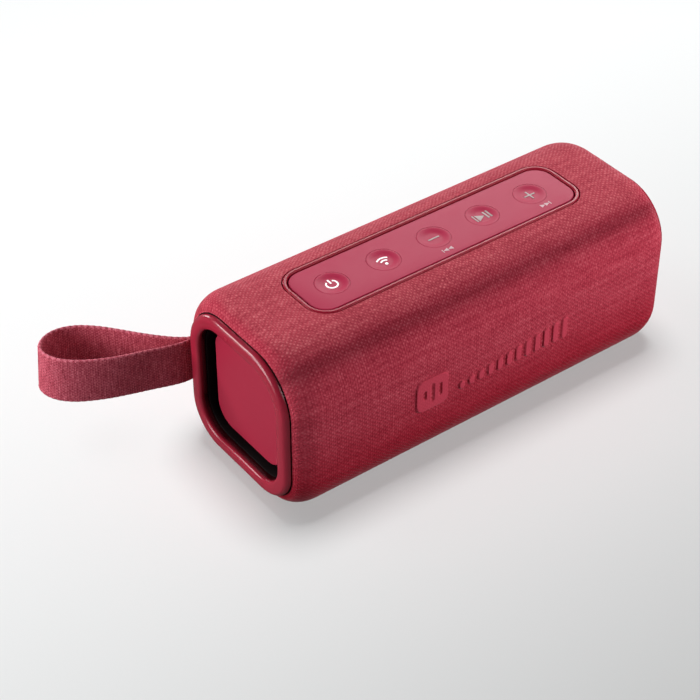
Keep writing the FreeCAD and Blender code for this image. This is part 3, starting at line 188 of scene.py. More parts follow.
# ---------------------------------------------------------------- node helpers
class NodeMaterial:
    """A small builder of node materials. Values may be numbers or sockets."""

    def __init__(self, name):
        self.material = bpy.data.materials.new(name)
        self.material.use_nodes = True
        self.tree = self.material.node_tree
        self.tree.nodes.clear()
        self.output = self.add("ShaderNodeOutputMaterial")
        self.bsdf = self.add("ShaderNodeBsdfPrincipled")
        self.put(self.output, 0, self.bsdf.outputs[0])
        self.coord_node = None

    def add(self, kind, **props):
        node = self.tree.nodes.new(kind)
        for key, value in props.items():
            setattr(node, key, value)
        return node

    def put(self, node, key, value):
        socket = node.inputs[key]
        if isinstance(value, bpy.types.NodeSocket):
            self.tree.links.new(value, socket)
        else:
            socket.default_value = value

    def set(self, **inputs):
        """Set inputs of the Principled shader, with _ for a space in their names."""
        for key, value in inputs.items():
            self.put(self.bsdf, key.replace("_", " "), value)

    def coord(self, output):
        if self.coord_node is None:
            self.coord_node = self.add("ShaderNodeTexCoord")
        return self.coord_node.outputs[output]

    def op(self, operation, a, b=None, clamp=False):
        node = self.add("ShaderNodeMath", operation=operation, use_clamp=clamp)
        self.put(node, 0, a)
        if b is not None:
            self.put(node, 1, b)
        return node.outputs[0]

    def plus(self, a, b):
        return self.op("ADD", a, b)

    def minus(self, a, b):
        return self.op("SUBTRACT", a, b)

    def times(self, a, b):
        return self.op("MULTIPLY", a, b)

    def hypot(self, a, b):
        return self.op("POWER", self.plus(self.times(a, a), self.times(b, b)), 0.5)

    def limit(self, value, low, high):
        return self.op("MINIMUM", self.op("MAXIMUM", value, low), high)

    def fade(self, value, start, span):
        """0 up to start, rising to 1 over span."""
        return self.op("MULTIPLY", self.minus(value, start), 1 / span, clamp=True)

    def sway(self, value, noise, amount):
        """value moved up and down by a 0 to 1 noise."""
        return self.plus(value, self.times(self.minus(noise, 0.5), amount))

    def mix(self, factor, a, b):
        """Mix of two colours."""
        node = self.add("ShaderNodeMix", data_type="RGBA")
        self.put(node, 0, factor)
        for i, colour in ((6, a), (7, b)):
            is_socket = isinstance(colour, bpy.types.NodeSocket)
            self.put(node, i, colour if is_socket else (*colour, 1.0))
        return node.outputs[2]

    def mixf(self, factor, a, b):
        """Mix of two numbers."""
        node = self.add("ShaderNodeMix", data_type="FLOAT")
        for i, value in ((0, factor), (2, a), (3, b)):
            self.put(node, i, value)
        return node.outputs[0]

    def yarn_ramp(self, tone, dark, mid, light):
        node = self.add("ShaderNodeValToRGB")
        self.put(node, 0, tone)
        elements = node.color_ramp.elements
        elements.new(0.5)
        for i, (position, colour) in enumerate(((0.10, dark), (0.50, mid), (0.95, light))):
            elements[i].position = position
            elements[i].color = (*colour, 1)
        return node.outputs[0]

    def noise(self, vector, scale, detail=2.0, rough=0.5):
        node = self.add("ShaderNodeTexNoise")
        self.put(node, "Vector", vector)
        self.put(node, "Scale", scale)
        self.put(node, "Detail", detail)
        self.put(node, "Roughness", rough)
        return node.outputs[0]

    def uv_noise(self, u, v, per_mm, offset=0.0, detail=2.0, rough=0.5):
        """Noise over the cloth, with its own frequency along u and along v."""
        place = self.combine(self.times(u, per_mm[0]), self.times(v, per_mm[1]), offset)
        return self.noise(place, scale=1.0, detail=detail, rough=rough)

    def cell_noise(self, u, v, size_u, size_v):
        """One random value for each cell of a grid."""
        node = self.add("ShaderNodeTexWhiteNoise", noise_dimensions="2D")
        column = self.op("FLOOR", self.op("DIVIDE", u, size_u))
        row = self.op("FLOOR", self.op("DIVIDE", v, size_v))
        self.put(node, "Vector", self.combine(column, row))
        return node.outputs[0]

    def combine(self, x, y, z=0.0):
        node = self.add("ShaderNodeCombineXYZ")
        for i, value in enumerate((x, y, z)):
            self.put(node, i, value)
        return node.outputs[0]

    def split(self, vector):
        node = self.add("ShaderNodeSeparateXYZ")
        self.put(node, 0, vector)
        return node.outputs[0], node.outputs[1], node.outputs[2]

    def uv(self):
        return self.split(self.add("ShaderNodeUVMap", uv_map="weave").outputs[0])[:2]

    def tint(self, colour, factors):
        return self.combine(*(self.times(c, f) for c, f in zip(self.split(colour), factors)))

    def attribute(self, name):
        return self.add("ShaderNodeAttribute", attribute_name=name).outputs["Fac"]

    def bump(self, height, strength, distance):
        """Bump normal; distance in metres."""
        node = self.add("ShaderNodeBump")
        self.put(node, "Height", height)
        self.put(node, "Strength", strength)
        self.put(node, "Distance", distance)
        return node.outputs[0]


def plastic_nodes(name, colour, rough=0.35, grain=0.04, grain_scale=2600.0, coat=0.0, sheen=0.0,
                  specular=0.5, vary=0.04, metallic=0.0):
    """Moulded plastic, rubber or plain metal: a fine texture, slow colour drift, uneven gloss."""
    m = NodeMaterial(name)
    place = m.coord("Object")
    dark = tuple(c * (1 - vary) for c in colour)
    light = tuple(min(1.0, c * (1 + vary)) for c in colour)
    gloss = m.noise(place, scale=180.0)
    texture = m.noise(place, scale=grain_scale, rough=0.6)
    m.set(
        Base_Color=m.mix(m.noise(place, scale=60.0, detail=3.0), dark, light),
        Metallic=metallic,
        Roughness=m.mixf(gloss, max(0.02, rough - 0.03), min(1.0, rough + 0.03)),
        Specular_IOR_Level=specular,
        Normal=m.bump(texture, strength=grain, distance=0.0001))
    if coat:
        m.set(Coat_Weight=coat, Coat_Roughness=0.2)
    if sheen:
        m.set(Sheen_Weight=sheen, Sheen_Roughness=0.5)
    return m


def plastic(name, colour, **options):
    return plastic_nodes(name, colour, **options).material


# ---------------------------------------------------------------- fabric material
FABRIC_DARK, FABRIC_MID = (0.24, 0.007, 0.018), (0.44, 0.022, 0.045)
FABRIC_LIGHT = (0.66, 0.065, 0.105)
FABRIC_PRESSED = (0.66, 0.068, 0.112)  # faces of the raised marks
# painted shade and light in the cloth's colour: a deeper painted-shade tint low down, a paler, whiter painted-sheen
# tint high up, and a paler painted-light tint on the flat top
FABRIC_PAINTED_LOW_SHADE, FABRIC_PAINTED_HIGH_SHEEN = (0.83, 0.60, 0.67), (1.14, 2.25, 1.80)
FABRIC_PAINTED_TOP_LIGHT = (1.0, 1.38, 1.18)
WEAVES_PER_MM = (0.515, 0.575)  # along u and v
# centre and width (radians from straight up, towards the front) and strength of each band of painted shade and painted
# light round the top front edge
PAINTED_EDGE_SHADE = (0.74, 0.17, 0.36)
PAINTED_LIGHT_BANDS = ((0.18, 0.22, 0.04), (1.45, 0.35, 0.07))


def painted_shade(m, turn):
    """Painted shade: a darker line along the top front edge between paler bands of painted light, by the surface's
    angle.
    """
    def bell(centre, width, strength):
        offset = m.op("DIVIDE", m.minus(turn, centre), width)
        curve = m.op("EXPONENT", m.times(m.times(offset, offset), -1.0))
        return m.times(curve, strength)

    shade = m.minus(1.0, bell(*PAINTED_EDGE_SHADE))
    for band in PAINTED_LIGHT_BANDS:
        shade = m.plus(shade, bell(*band))
    return shade


def fabric_material():
    """Plain-weave speaker cloth of mixed dark and light red yarns."""
    m = NodeMaterial("fabric_woven_red")
    u, v = m.uv()
    emblem = m.attribute("emblem")
    # threads wander a little, so the rows aren't ruler-straight
    phases, sines = [], []
    for axis, per_mm, offset in ((u, WEAVES_PER_MM[0], 0.0), (v, WEAVES_PER_MM[1], 11.0)):
        wandered = m.sway(axis, m.uv_noise(u, v, (0.16, 0.16), offset), amount=1.5)
        phases.append(m.times(wandered, 2 * math.pi * per_mm))
        sines.append(m.op("SINE", phases[-1]))
    over = m.times(*sines)  # which thread is on top
    crown = m.plus(*(m.op("ABSOLUTE", sine) for sine in sines))  # each thread is round
    weave = m.plus(m.times(over, 0.42), m.times(m.minus(crown, 1.27), 0.30))
    # every crossing takes its own dye strength, and yarns run light or dark over a few centimetres
    cell = m.cell_noise(*phases, size_u=math.pi, size_v=math.pi)
    warp = m.uv_noise(u, v, (1.05, 0.06), rough=0.6)
    weft = m.uv_noise(u, v, (0.05, 0.46), offset=7.0, rough=0.6)
    fleck = m.uv_noise(u, v, (0.9, 0.9), offset=3.0, detail=3.0, rough=0.7)
    z = m.split(m.coord("Object"))[2]
    high = m.fade(z, start=16 * MM, span=25 * MM)
    top = m.fade(z, start=55 * MM, span=14 * MM)
    # the weave shows more strongly near the top
    tone = m.plus(0.5, m.times(weave, m.mixf(top, 0.16, 0.30)))
    for noise, amount in ((cell, 0.10), (warp, 0.38), (weft, 0.50), (fleck, 0.75)):
        tone = m.sway(tone, noise, amount)
    base = m.yarn_ramp(tone, FABRIC_DARK, FABRIC_MID, FABRIC_LIGHT)
    # shading painted into the colour, so it stays put in every view: deeper low down, paler high
    # up, banded round the top front edge and paler on the flat top
    base = m.mix(high, m.tint(base, FABRIC_PAINTED_LOW_SHADE), m.tint(base, FABRIC_PAINTED_HIGH_SHEEN))
    normal_y, normal_z = m.split(m.coord("Normal"))[1:]
    shade = painted_shade(m, m.op("ARCTAN2", m.times(normal_y, -1.0), normal_z))
    # painted light: the flat top is made paler
    painted_top_light_mask = m.fade(normal_z, start=0.80, span=0.13)
    base = m.mix(painted_top_light_mask, base, m.tint(base, FABRIC_PAINTED_TOP_LIGHT))
    base = m.tint(base, (shade, shade, shade))
    height = m.plus(weave, m.times(fleck, 0.35))
    m.set(
        Base_Color=m.mix(m.times(emblem, 0.92), base, FABRIC_PRESSED),
        Roughness=0.85,
        Specular_IOR_Level=0.02,
        Sheen_Weight=0.28,
        Sheen_Roughness=0.3,
        Sheen_Tint=(1.0, 0.72, 0.76, 1),
        Normal=m.bump(height, strength=m.mixf(emblem, 0.8, 0.25), distance=0.00022))
    return m.material


# ---------------------------------------------------------------- raised marks on the front
# A rounded badge with three bars cut in it, then a row of bars that rise from one baseline.
BADGE_X, BADGE_Z, BADGE_HALF, BADGE_RADIUS = -28.6, 36.2, 7.3, 3.4
BADGE_BARS = ((-3.6, 2.0), (0.0, 4.2), (3.6, 2.9))  # x from the badge's middle, half height
BADGE_BAR_HALF = 0.65
LEVELS = [3.2, 3.8, 4.4, 5.0, 5.6, 6.2, 6.9, 7.5, 8.1, 8.7, 9.3, 10.0]  # heights of the row's bars
LEVEL_X0, LEVEL_PITCH, LEVEL_BASE, LEVEL_HALF = -14.6, 4.5, 31.0, 1.35
RAISED, GROOVE = 0.62, 0.55  # height of the marks, depth of the bars cut in the badge
# patch of the front that is meshed finely for the marks
MARKS_X0, MARKS_X1, MARKS_Z0, MARKS_Z1, MARKS_STEP = -38.5, 38.8, 27.6, 45.0, 0.34


def box_distance(x, z, cx, cz, hx, hz, r):
    """Signed distance to a rounded box of half sizes hx, hz."""
    qx, qz = np.abs(x - cx) - (hx - r), np.abs(z - cz) - (hz - r)
    return np.minimum(np.maximum(qx, qz), 0) + np.hypot(np.maximum(qx, 0), np.maximum(qz, 0)) - r


def inside(distance):
    """1 inside an edge, 0 outside, with a narrow slope."""
    return smoothstep((0.18 - distance) / 0.36)


def relief(x, z):
    """(inward push, face mask) of the raised marks at points of the front face."""
    marks = box_distance(x, z, BADGE_X, BADGE_Z, BADGE_HALF, BADGE_HALF, BADGE_RADIUS)
    cuts = np.full_like(x, 1e3)
    half = BADGE_BAR_HALF
    for dx, half_height in BADGE_BARS:
        bar_cut = box_distance(x, z, BADGE_X + dx, BADGE_Z, half, half_height, half)
        cuts = np.minimum(cuts, bar_cut)
    half = LEVEL_HALF
    for i, height in enumerate(LEVELS):
        cx, cz = LEVEL_X0 + LEVEL_PITCH * i, LEVEL_BASE + height / 2
        marks = np.minimum(marks, box_distance(x, z, cx, cz, half, height / 2, half))
    face, groove = inside(marks), inside(cuts)
    return -RAISED * face + GROOVE * groove * face, face * (1 - groove)


# ---------------------------------------------------------------- fabric cover
FABRIC_THICK = 0.95
FABRIC_END = 0.28  # the cover stops this far short of the taper's end
SEGMENT_FRONT = 2
MID_FRONT = 60  # index of a section point on the front face


def section_parameters():
    """(segment, 0 to 1) round the section, from under the middle, up the front and over.

    Segments: 0 bottom front half, 1 bottom front corner, 2 front, 3 top front corner, 4 top,
    5 top rear corner, 6 rear, 7 bottom rear corner, 8 bottom rear half.
    """
    z0, z1 = BODY_BOTTOM + BOTTOM_RADIUS, BODY_BOTTOM + BODY_HEIGHT - TOP_RADIUS
    levels = np.concatenate([np.arange(z0, MARKS_Z0, 1.0),
                             np.arange(MARKS_Z0, MARKS_Z1, MARKS_STEP),
                             np.arange(MARKS_Z1, z1 - 0.3, 1.0)])

    def even(*counts):
        return [(segment, t) for segment, count in counts
                for t in np.linspace(0, 1, count, endpoint=False)]

    front = [(SEGMENT_FRONT, (z - z0) / (z1 - z0)) for z in levels]
    return even((0, 9), (1, 22)) + front + even((3, 26), (4, 14), (5, 26), (6, 22), (7, 22), (8, 9))


def section_at(params, thick, taper):
    """(y, z, normal y, normal z) of the section at each parameter, z from the body's middle."""
    half_y, half_z = BODY_DEPTH / 2 - (thick + taper), BODY_HEIGHT / 2 - (thick + taper)
    rt, rb = TOP_RADIUS - thick - 0.6 * taper, BOTTOM_RADIUS - thick - 0.6 * taper
    corners = {1: (-(half_y - rb), -half_z + rb, rb, 270), 3: (-(half_y - rt), half_z - rt, rt, 180),
               5: (half_y - rt, half_z - rt, rt, 90), 7: (half_y - rb, -half_z + rb, rb, 0)}
    points = []
    for segment, t in params:
        if segment in (0, 8):
            y0, y1 = (0, -(half_y - rb)) if segment == 0 else (half_y - rb, 0)
            points.append((y0 + (y1 - y0) * t, -half_z, 0, -1))
        elif segment == 4:
            points.append((-(half_y - rt) + 2 * (half_y - rt) * t, half_z, 0, 1))
        elif segment in (2, 6):
            z0, z1 = -half_z + rb, half_z - rt
            side, t = (-1, t) if segment == SEGMENT_FRONT else (1, 1 - t)
            points.append((side * half_y, z0 + (z1 - z0) * t, side, 0))
        else:
            cy, cz, r, a0 = corners[segment]
            a = math.radians(a0 - 90 * t)
            points.append((cy + r * math.cos(a), cz + r * math.sin(a), math.cos(a), math.sin(a)))
    return np.array(points)


def taper_at(angle, short):
    """(x, draw-in) on the right taper, short of its full length."""
    return STRAIGHT + (TAPER - short) * math.sin(angle), TAPER_IN * (1 - math.cos(angle))


def fabric_rings(params, base):
    """(rings, face masks, number of outer rings) of the cover's closed skin."""
    n = len(params)
    rings, masks = [], []

    def add(x, inset, taper, push=0.0, face=0.0):
        s = section_at(params, inset, taper)
        y, z = s[:, 0] - s[:, 2] * push, s[:, 1] + MID_Z - s[:, 3] * push
        rings.append(np.column_stack([np.full(n, x), y, z]))
        masks.append(face + np.zeros(n))

    angles = np.radians(np.linspace(0, 90, 15))
    outer = [taper_at(a, FABRIC_END) for a in angles[1:]]
    inner = [taper_at(a, 1.0) for a in angles[:-2][::2]]
    xs = np.concatenate([np.arange(-STRAIGHT, MARKS_X0 - 0.5, 1.6),
                         np.arange(MARKS_X0, MARKS_X1, MARKS_STEP),
                         np.arange(MARKS_X1 + 0.4, STRAIGHT, 1.6), [STRAIGHT]])
    # outer surface, left to right
    for x, draw_in in reversed(outer):
        add(-x, 0, draw_in)
    front = np.array([segment == SEGMENT_FRONT for segment, _ in params])
    for x in xs:
        push, face = relief(np.full(n, x), base[:, 1] + MID_Z)
        add(x, 0, 0, np.where(front, push, 0), np.where(front, face, 0))
    for x, draw_in in outer:
        add(x, 0, draw_in)
    outer_count = len(rings)
    # hem on the right, inner surface back to the left, hem on the left
    end = STRAIGHT + TAPER - FABRIC_END
    hem = [(0.04, 0.3), (0.16, 0.55), (0.4, FABRIC_THICK)]  # back from the end, inset
    for back_by, inset in hem:
        add(end - back_by, inset, TAPER_IN)
    for x, draw_in in reversed(inner):
        add(x, FABRIC_THICK, draw_in)
    for x, draw_in in inner:
        add(-x, FABRIC_THICK, draw_in)
    for back_by, inset in reversed(hem):
        add(back_by - end, inset, TAPER_IN)
    return rings, masks, outer_count


def fabric_uvs(rings, outer_count, base, faces):
    """UVs in mm for every face corner: u along the surface, v round the section."""
    n = len(base)
    steps = np.hypot(*np.diff(np.vstack([base, base[:1]])[:, :2], axis=0).T)
    around = np.concatenate([[0], np.cumsum(steps)[:-1]])
    u = [0.0]
    for i in range(1, len(rings)):
        step = float(np.linalg.norm(rings[i][MID_FRONT] - rings[i - 1][MID_FRONT]))
        u.append(u[-1] + (step if i < outer_count else 1.0))
    u = np.array(u) - u[outer_count // 2]
    # the closing column would run backwards, so its far corners get the full way round
    corners = np.array(faces)
    wrap = (corners % n == 0) & (corners % n == n - 1).any(axis=1, keepdims=True)
    v = np.where(wrap, float(around[-1] + steps[-1]), np.tile(around, len(rings))[corners])
    return np.stack([np.repeat(u, n)[corners], v], axis=-1)


def fabric_cutters():
    """Windows for the key panel, the socket panel, the feet and the strap housing."""
    clearance = 0.8
    panel = rrect(125.8 + clearance, 29.3 + clearance, 9.6, n=14)
    cutters = [prism("cut_top", panel, 60, 90)]
    sockets = rrect(36.5, 16.5, 2.85, n=8, cx=45.0, cy=36.0)
    cutters.append(prism("cut_port", sockets, 20, 50, "Y"))
    for side in (-1, 1):
        foot = rrect(112.5, 7.5, 3.55, n=8, cy=side * 10.5)
        cutters.append(prism("cut_foot", foot, -10, 20))
    cutters.append(prism("cut_foot_mid", rrect(14.5, 7.5, 3.55, n=8), -10, 20))
    strap_hole = rrect(16.8, 24.6, 0.6, n=4, cx=-86.7, cy=MID_Z)
    cutters.append(prism("cut_strap", strap_hole, 26, 50, "Y"))
    return cutters


def build_fabric():
    params = section_parameters()
    base = section_at(params, 0.0, 0.0)
    rings, masks, outer_count = fabric_rings(params, base)
    faces = grid_faces(len(rings), len(params), close_rows=True, close_cols=True, turned=True)
    o = make("fabric_skin", np.vstack(rings), faces)
    add_weave_uv(o, fabric_uvs(rings, outer_count, base, faces))
    add_attribute(o, "emblem", np.concatenate(masks))
    fix_normals(o)
    cut_away(o, fabric_cutters(), keep_layers=True)
    o.data.name = "fabric_skin"
    smooth_by_angle(o, 40)
    o.data.materials.clear()
    fit(o, fabric_material(), "fabric_cover", "cabinet")


build_fabric()

# ---------------------------------------------------------------- strap: one flat webbing ribbon round its bar
STRAP_DARK, STRAP_MID = (0.27, 0.024, 0.043), (0.54, 0.075, 0.116)
STRAP_LIGHT = (0.82, 0.22, 0.29)
STRAP_HALF_WIDTH, STRAP_HALF_THICK, STITCH_PITCH = 9.5, 0.56, 2.3

# (x, y) of the ribbon's centre line: out, round the far bend and back
STRAP_LOOP = [
    (-87.6, 31.45), (-92.0, 31.75), (-97.0, 33.0), (-103.5, 35.2), (-110.5, 37.4), (-117.5, 39.9),
    (-124.5, 43.4), (-130.0, 47.2), (-133.8, 51.6), (-135.6, 56.4), (-135.2, 60.8), (-132.4, 64.0),
    (-128.0, 65.7), (-122.6, 65.4), (-117.0, 62.8), (-111.8, 58.4), (-106.8, 52.6), (-101.6, 46.0),
    (-96.4, 40.0), (-91.6, 35.3), (-87.6, 32.75)]
# (x, y) on round the bar to the start
STRAP_EYE = [
    (-86.7, 32.98), (-85.6, 33.45), (-84.3, 33.7), (-83.15, 33.2), (-82.62, 32.1), (-82.75, 31.1),
    (-83.6, 30.15), (-84.9, 29.95), (-86.3, 30.55)]


def spline_closed(points, step):
    """(points, distances, total length) along a closed centripetal Catmull-Rom curve."""
    P = np.array(points, float)
    n = len(P)
    curve = []
    for i in range(n):
        p = [P[(i + k) % n] for k in (-1, 0, 1, 2)]
        t = [0.0]
        for a, b in zip(p, p[1:]):
            t.append(t[-1] + max(1e-6, np.linalg.norm(b - a)) ** 0.5)
        for s in np.linspace(t[1], t[2], 60, endpoint=False):
            def between(a, b, i0, i1):
                span = t[i1] - t[i0]
                return (t[i1] - s) / span * a + (s - t[i0]) / span * b

            a1, a2, a3 = (between(p[k], p[k + 1], k, k + 1) for k in range(3))
            curve.append(between(between(a1, a2, 0, 2), between(a2, a3, 1, 3), 1, 2))
    curve = np.array(curve + curve[:1])
    lengths = np.linalg.norm(np.diff(curve, axis=0), axis=1)
    reached = np.concatenate([[0], np.cumsum(lengths)])
    total = reached[-1]
    s = np.linspace(0, total, int(round(total / step)), endpoint=False)
    return np.column_stack([np.interp(s, reached, curve[:, k]) for k in (0, 1)]), s, total


def strap_material():
    """Nylon webbing: narrow ribs across the strap, crossed by fine rows along it."""
    m = NodeMaterial("webbing_red")
    u, v = m.uv()  # u along the strap, v across it
    wander = m.uv_noise(u, v, (0.2, 0.2))
    along = m.sway(u, wander, amount=0.8)
    across = m.sway(v, wander, amount=0.6)

    def wave(value, pitch):
        return m.op("SINE", m.times(value, 2 * math.pi / pitch))

    rib, rib_pair = wave(along, 0.84), wave(along, 1.68)
    row, row_pair = wave(across, 0.62), wave(across, 1.24)
    crossings = m.times(m.times(rib, row), 0.22)
    paired = m.times(m.times(rib_pair, row_pair), 0.24)
    weave = m.plus(m.plus(crossings, paired), m.times(rib, 0.12))
    tone = m.plus(0.5, m.times(weave, 0.62))
    # painted highlight: lighter dots along both selvedges, where the rippled edges catch the light
    tone = m.plus(tone, m.times(m.attribute("selvedge_highlight"), 0.50))
    cell = m.cell_noise(along, across, size_u=0.42, size_v=0.62)
    yarn = m.uv_noise(u, v, (0.12, 1.3), rough=0.6)
    fleck = m.uv_noise(u, v, (1.1, 1.1), offset=5.0, detail=3.0, rough=0.7)
    streak = m.uv_noise(u, v, (1.25, 0.16), offset=2.0, rough=0.6)
    for noise, amount in ((cell, 0.22), (yarn, 0.25), (fleck, 0.75), (streak, 0.85)):
        tone = m.sway(tone, noise, amount)
    m.set(
        Base_Color=m.yarn_ramp(tone, STRAP_DARK, STRAP_MID, STRAP_LIGHT),
        Roughness=0.8,
        Specular_IOR_Level=0.2,
        Sheen_Weight=0.2,
        Sheen_Roughness=0.4,
        Sheen_Tint=(1.0, 0.55, 0.62, 1),
        Normal=m.bump(weave, strength=0.8, distance=0.00018))
    return m.material


def build_strap():
    centre, s, total = spline_closed(STRAP_LOOP + STRAP_EYE, step=0.2)
    tangent = np.roll(centre, -1, 0) - np.roll(centre, 1, 0)
    tangent /= np.linalg.norm(tangent, axis=1)[:, None]
    normal = np.column_stack([-tangent[:, 1], tangent[:, 0]])
    # cross-section: (place across the width from -1 to 1, face)
    across = np.concatenate([[-1.0, -0.985, -0.955, -0.91], np.linspace(-0.84, 0.84, 11),
                             [0.91, 0.955, 0.985, 1.0]])
    profile = [(z, 1) for z in across] + [(z, -1) for z in across[::-1][1:-1]]
    rows, cols = len(centre), len(profile)
    verts = np.zeros((rows, cols, 3))
    uvs = np.zeros((rows, cols, 2))
    phase = 2 * math.pi * s / (total / round(total / STITCH_PITCH))
    far_bend = smoothstep((-centre[:, 0] - 112.0) / 20.0)
    for j, (z, face) in enumerate(profile):
        # thicker, rounder selvedges with a rippled edge
        edge = max(0.0, (abs(z) - 0.88) / 0.12)
        swell = 1.0 + 0.12 * math.exp(-((abs(z) - 0.93) / 0.05) ** 2)
        thick = STRAP_HALF_THICK * math.sqrt(max(0.0, 1 - edge ** 2)) * swell
        wave = np.sin(phase + (0 if z > 0 else math.pi / 2))
        widen = 0.055 * smoothstep((abs(z) - 0.88) / 0.10)
        ripple = 0.05 * smoothstep((abs(z) - 0.86) / 0.08) * (1 - edge) * wave
        offset = face * (thick + ripple)
        # the far bend tips: its upper edge moves to +X and its lower edge to -X
        lean = far_bend * (0.45 * (1 + z) / 2 - 1.25 * (1 - z) / 2)
        verts[:, j, 0] = centre[:, 0] + normal[:, 0] * offset + lean
        verts[:, j, 1] = centre[:, 1] + normal[:, 1] * offset
        verts[:, j, 2] = MID_Z + (z * STRAP_HALF_WIDTH + np.sign(z) * widen * wave)
        uvs[:, j, 0] = s
        uvs[:, j, 1] = z * STRAP_HALF_WIDTH + (0 if face > 0 else 40)
    faces = grid_faces(rows, cols, close_rows=True, close_cols=True, turned=True)
    o = make("wrist_strap_webbing", verts.reshape(-1, 3), faces)
    add_weave_uv(o, uvs.reshape(-1, 2)[np.array(faces)])
    # where the painted highlight dots go along the selvedges
    selvedge_highlight = np.array([smoothstep((abs(z) - 0.90) / 0.06) for z, _ in profile])
    dots = 0.5 + 0.5 * np.sin(phase + math.pi / 2)
    add_attribute(o, "selvedge_highlight", selvedge_highlight[None, :] * dots[:, None])
    fix_normals(o)
    fit(o, strap_material(), "wrist_strap", "strap")
    return o


strap = build_strap()

# ---------------------------------------------------------------- radiator surrounds: a rubber roll round each plate
RUBBER_ROLL = plastic("rubber_roll_black", (0.006, 0.003, 0.0035),
                      rough=0.75, grain=0.12, specular=0.12)
ROLL_CENTRE = (40, 40.6, 9.5)  # depth, height and corner radius of the roll's centre line
ROLL_ARC = 14  # steps round each corner
# the two corners each piece runs between: 0 top rear, 1 top front, 2 bottom front, 3 bottom rear
ROLL_PIECES = {"front": (1, 2), "top": (0, 1), "rear": (3, 0), "bottom": (2, 3)}

# closed section of the roll: (distance out from the centre line, distance from the body's middle)
ROLL_SECTION = [(-5.1, 80.85), (-4.9, 80.92), (-2.6, 80.92), (-2.42, 80.8)]
ROLL_SECTION += circle_pts(1.85, 180, 360, 16, cy=80.55)[1:-1]
ROLL_SECTION += [(2.42, 80.8), (2.6, 80.92), (4.35, 80.92), (4.55, 80.8), (4.6, 80.5),
                 (4.5, 80.22), (2.9, 80.2)]
ROLL_SECTION += circle_pts(2.45, 360, 180, 16, cy=80.3)
ROLL_SECTION += [(-2.9, 80.2), (-4.95, 80.2), (-5.15, 80.35)]

# closed section of the black sleeve that paints shade into the well: (inset from the opening, distance from the body's
# middle)
SHADE_LINER_SECTION = [(0.12, 81.0), (0.12, 86.1), (0.2, 86.3), (0.35, 86.4), (0.5, 86.3), (0.62, 86.0),
                 (0.66, 81.3), (0.5, 81.0)]


def roll_path(piece, out):
    """(y, z) of one piece's path, moved out from the centre line."""
    depth, height, radius = ROLL_CENTRE
    outline = rrect(depth + 2 * out, height + 2 * out, radius + out, n=ROLL_ARC)
    per_arc, half = ROLL_ARC + 1, ROLL_ARC // 2
    first, second = (outline[i * per_arc:(i + 1) * per_arc] for i in ROLL_PIECES[piece])
    (y0, z0), (y1, z1) = first[-1], second[0]
    straight = [(y0 + (y1 - y0) * t, z0 + (z1 - z0) * t) for t in (0.2, 0.4, 0.6, 0.8)]
    return first[half:] + straight + second[:half + 1]


def build_surround(side):
    rows = len(ROLL_SECTION)
    for piece in ROLL_PIECES:
        verts = []
        for out, x in ROLL_SECTION:
            path = roll_path(piece, out)
            verts += [(SIDES[side] * x, y, MID_Z + z) for y, z in path]
        cols = len(path)
        faces = grid_faces(rows, cols, close_rows=True)
        faces.append(tuple(i * cols for i in range(rows)))
        faces.append(tuple((rows - 1 - i) * cols + cols - 1 for i in range(rows)))
        o = make("radiator_roll_%s_%s" % (side, piece), verts, faces)
        fix_normals(o)
        smooth_by_angle(o, 50)
        if piece in ("front", "rear"):
            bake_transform(o)
        else:
            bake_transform(o)
        fit(o, RUBBER_ROLL, "radiator_surround_" + side)


def build_shade_liner(side):
    """Black sleeve in the well round the radiator plate: painted shade, a dark sheet where the well's wall lies in
    shade.
    """
    depth, height, top_r, bottom_r = OPENING
    verts = []
    for inset, x in SHADE_LINER_SECTION:
        outline = rrect(depth - 2 * inset, height - 2 * inset, top_r - inset, bottom_r - inset, n=12)
        verts += [(SIDES[side] * x, y, MID_Z + z) for y, z in outline]
    faces = grid_faces(len(SHADE_LINER_SECTION), len(outline), close_rows=True, close_cols=True)
    o = make("well_shade_liner_" + side, verts, faces)
    fix_normals(o)
    smooth_by_angle(o, 50)
    fit(o, RUBBER_ROLL, "radiator_surround_" + side, "cabinet", replaces=False)


for side in SIDES:
    build_surround(side)
for side in SIDES:
    build_shade_liner(side)

# ---------------------------------------------------------------- key panel and dished keys
PANEL_MAT = plastic("rubber_panel_rose", (0.475, 0.018, 0.071),
                    rough=0.46, grain=0.05, sheen=0.01, specular=0.14)
PANEL_LENGTH, PANEL_DEPTH, PANEL_RADIUS, PANEL_EDGE = 121.7, 25.2, 7.2, 0.5
WINDOW_R, POCKET_R, POCKET_TOP = 6.57, 7.75, 70.95  # round each key, and round its flange
KEY_TOP, KEY_R, KEY_EDGE = 72.33, 6.54, 0.16
DISH_DEEP, DISH_R, DISH_SLOPE = 0.62, 6.35, 3.6

# (radius, z) up a key: stem, flange, then the side of the cap
KEY_SIDE = [(0.0, 65.6), (1.6, 65.6), (1.8, 65.8), (1.8, 69.95), (7.35, 69.95), (7.5, 70.1),
            (7.5, 70.65), (7.35, 70.8), (6.6, 70.8), (KEY_R, 70.9), (KEY_R, 72.1)]
DISH_RADII = (6.2, 5.95, 5.7, 5.4, 5.1, 4.8, 4.5, 4.1, 3.7, 3.3, 2.9, 2.2, 1.4, 0.7, 0.0)


def dish_z(r):
    """Height of a key's top at a distance from its middle."""
    return KEY_TOP - DISH_DEEP * smoothstep((DISH_R - r) / DISH_SLOPE)


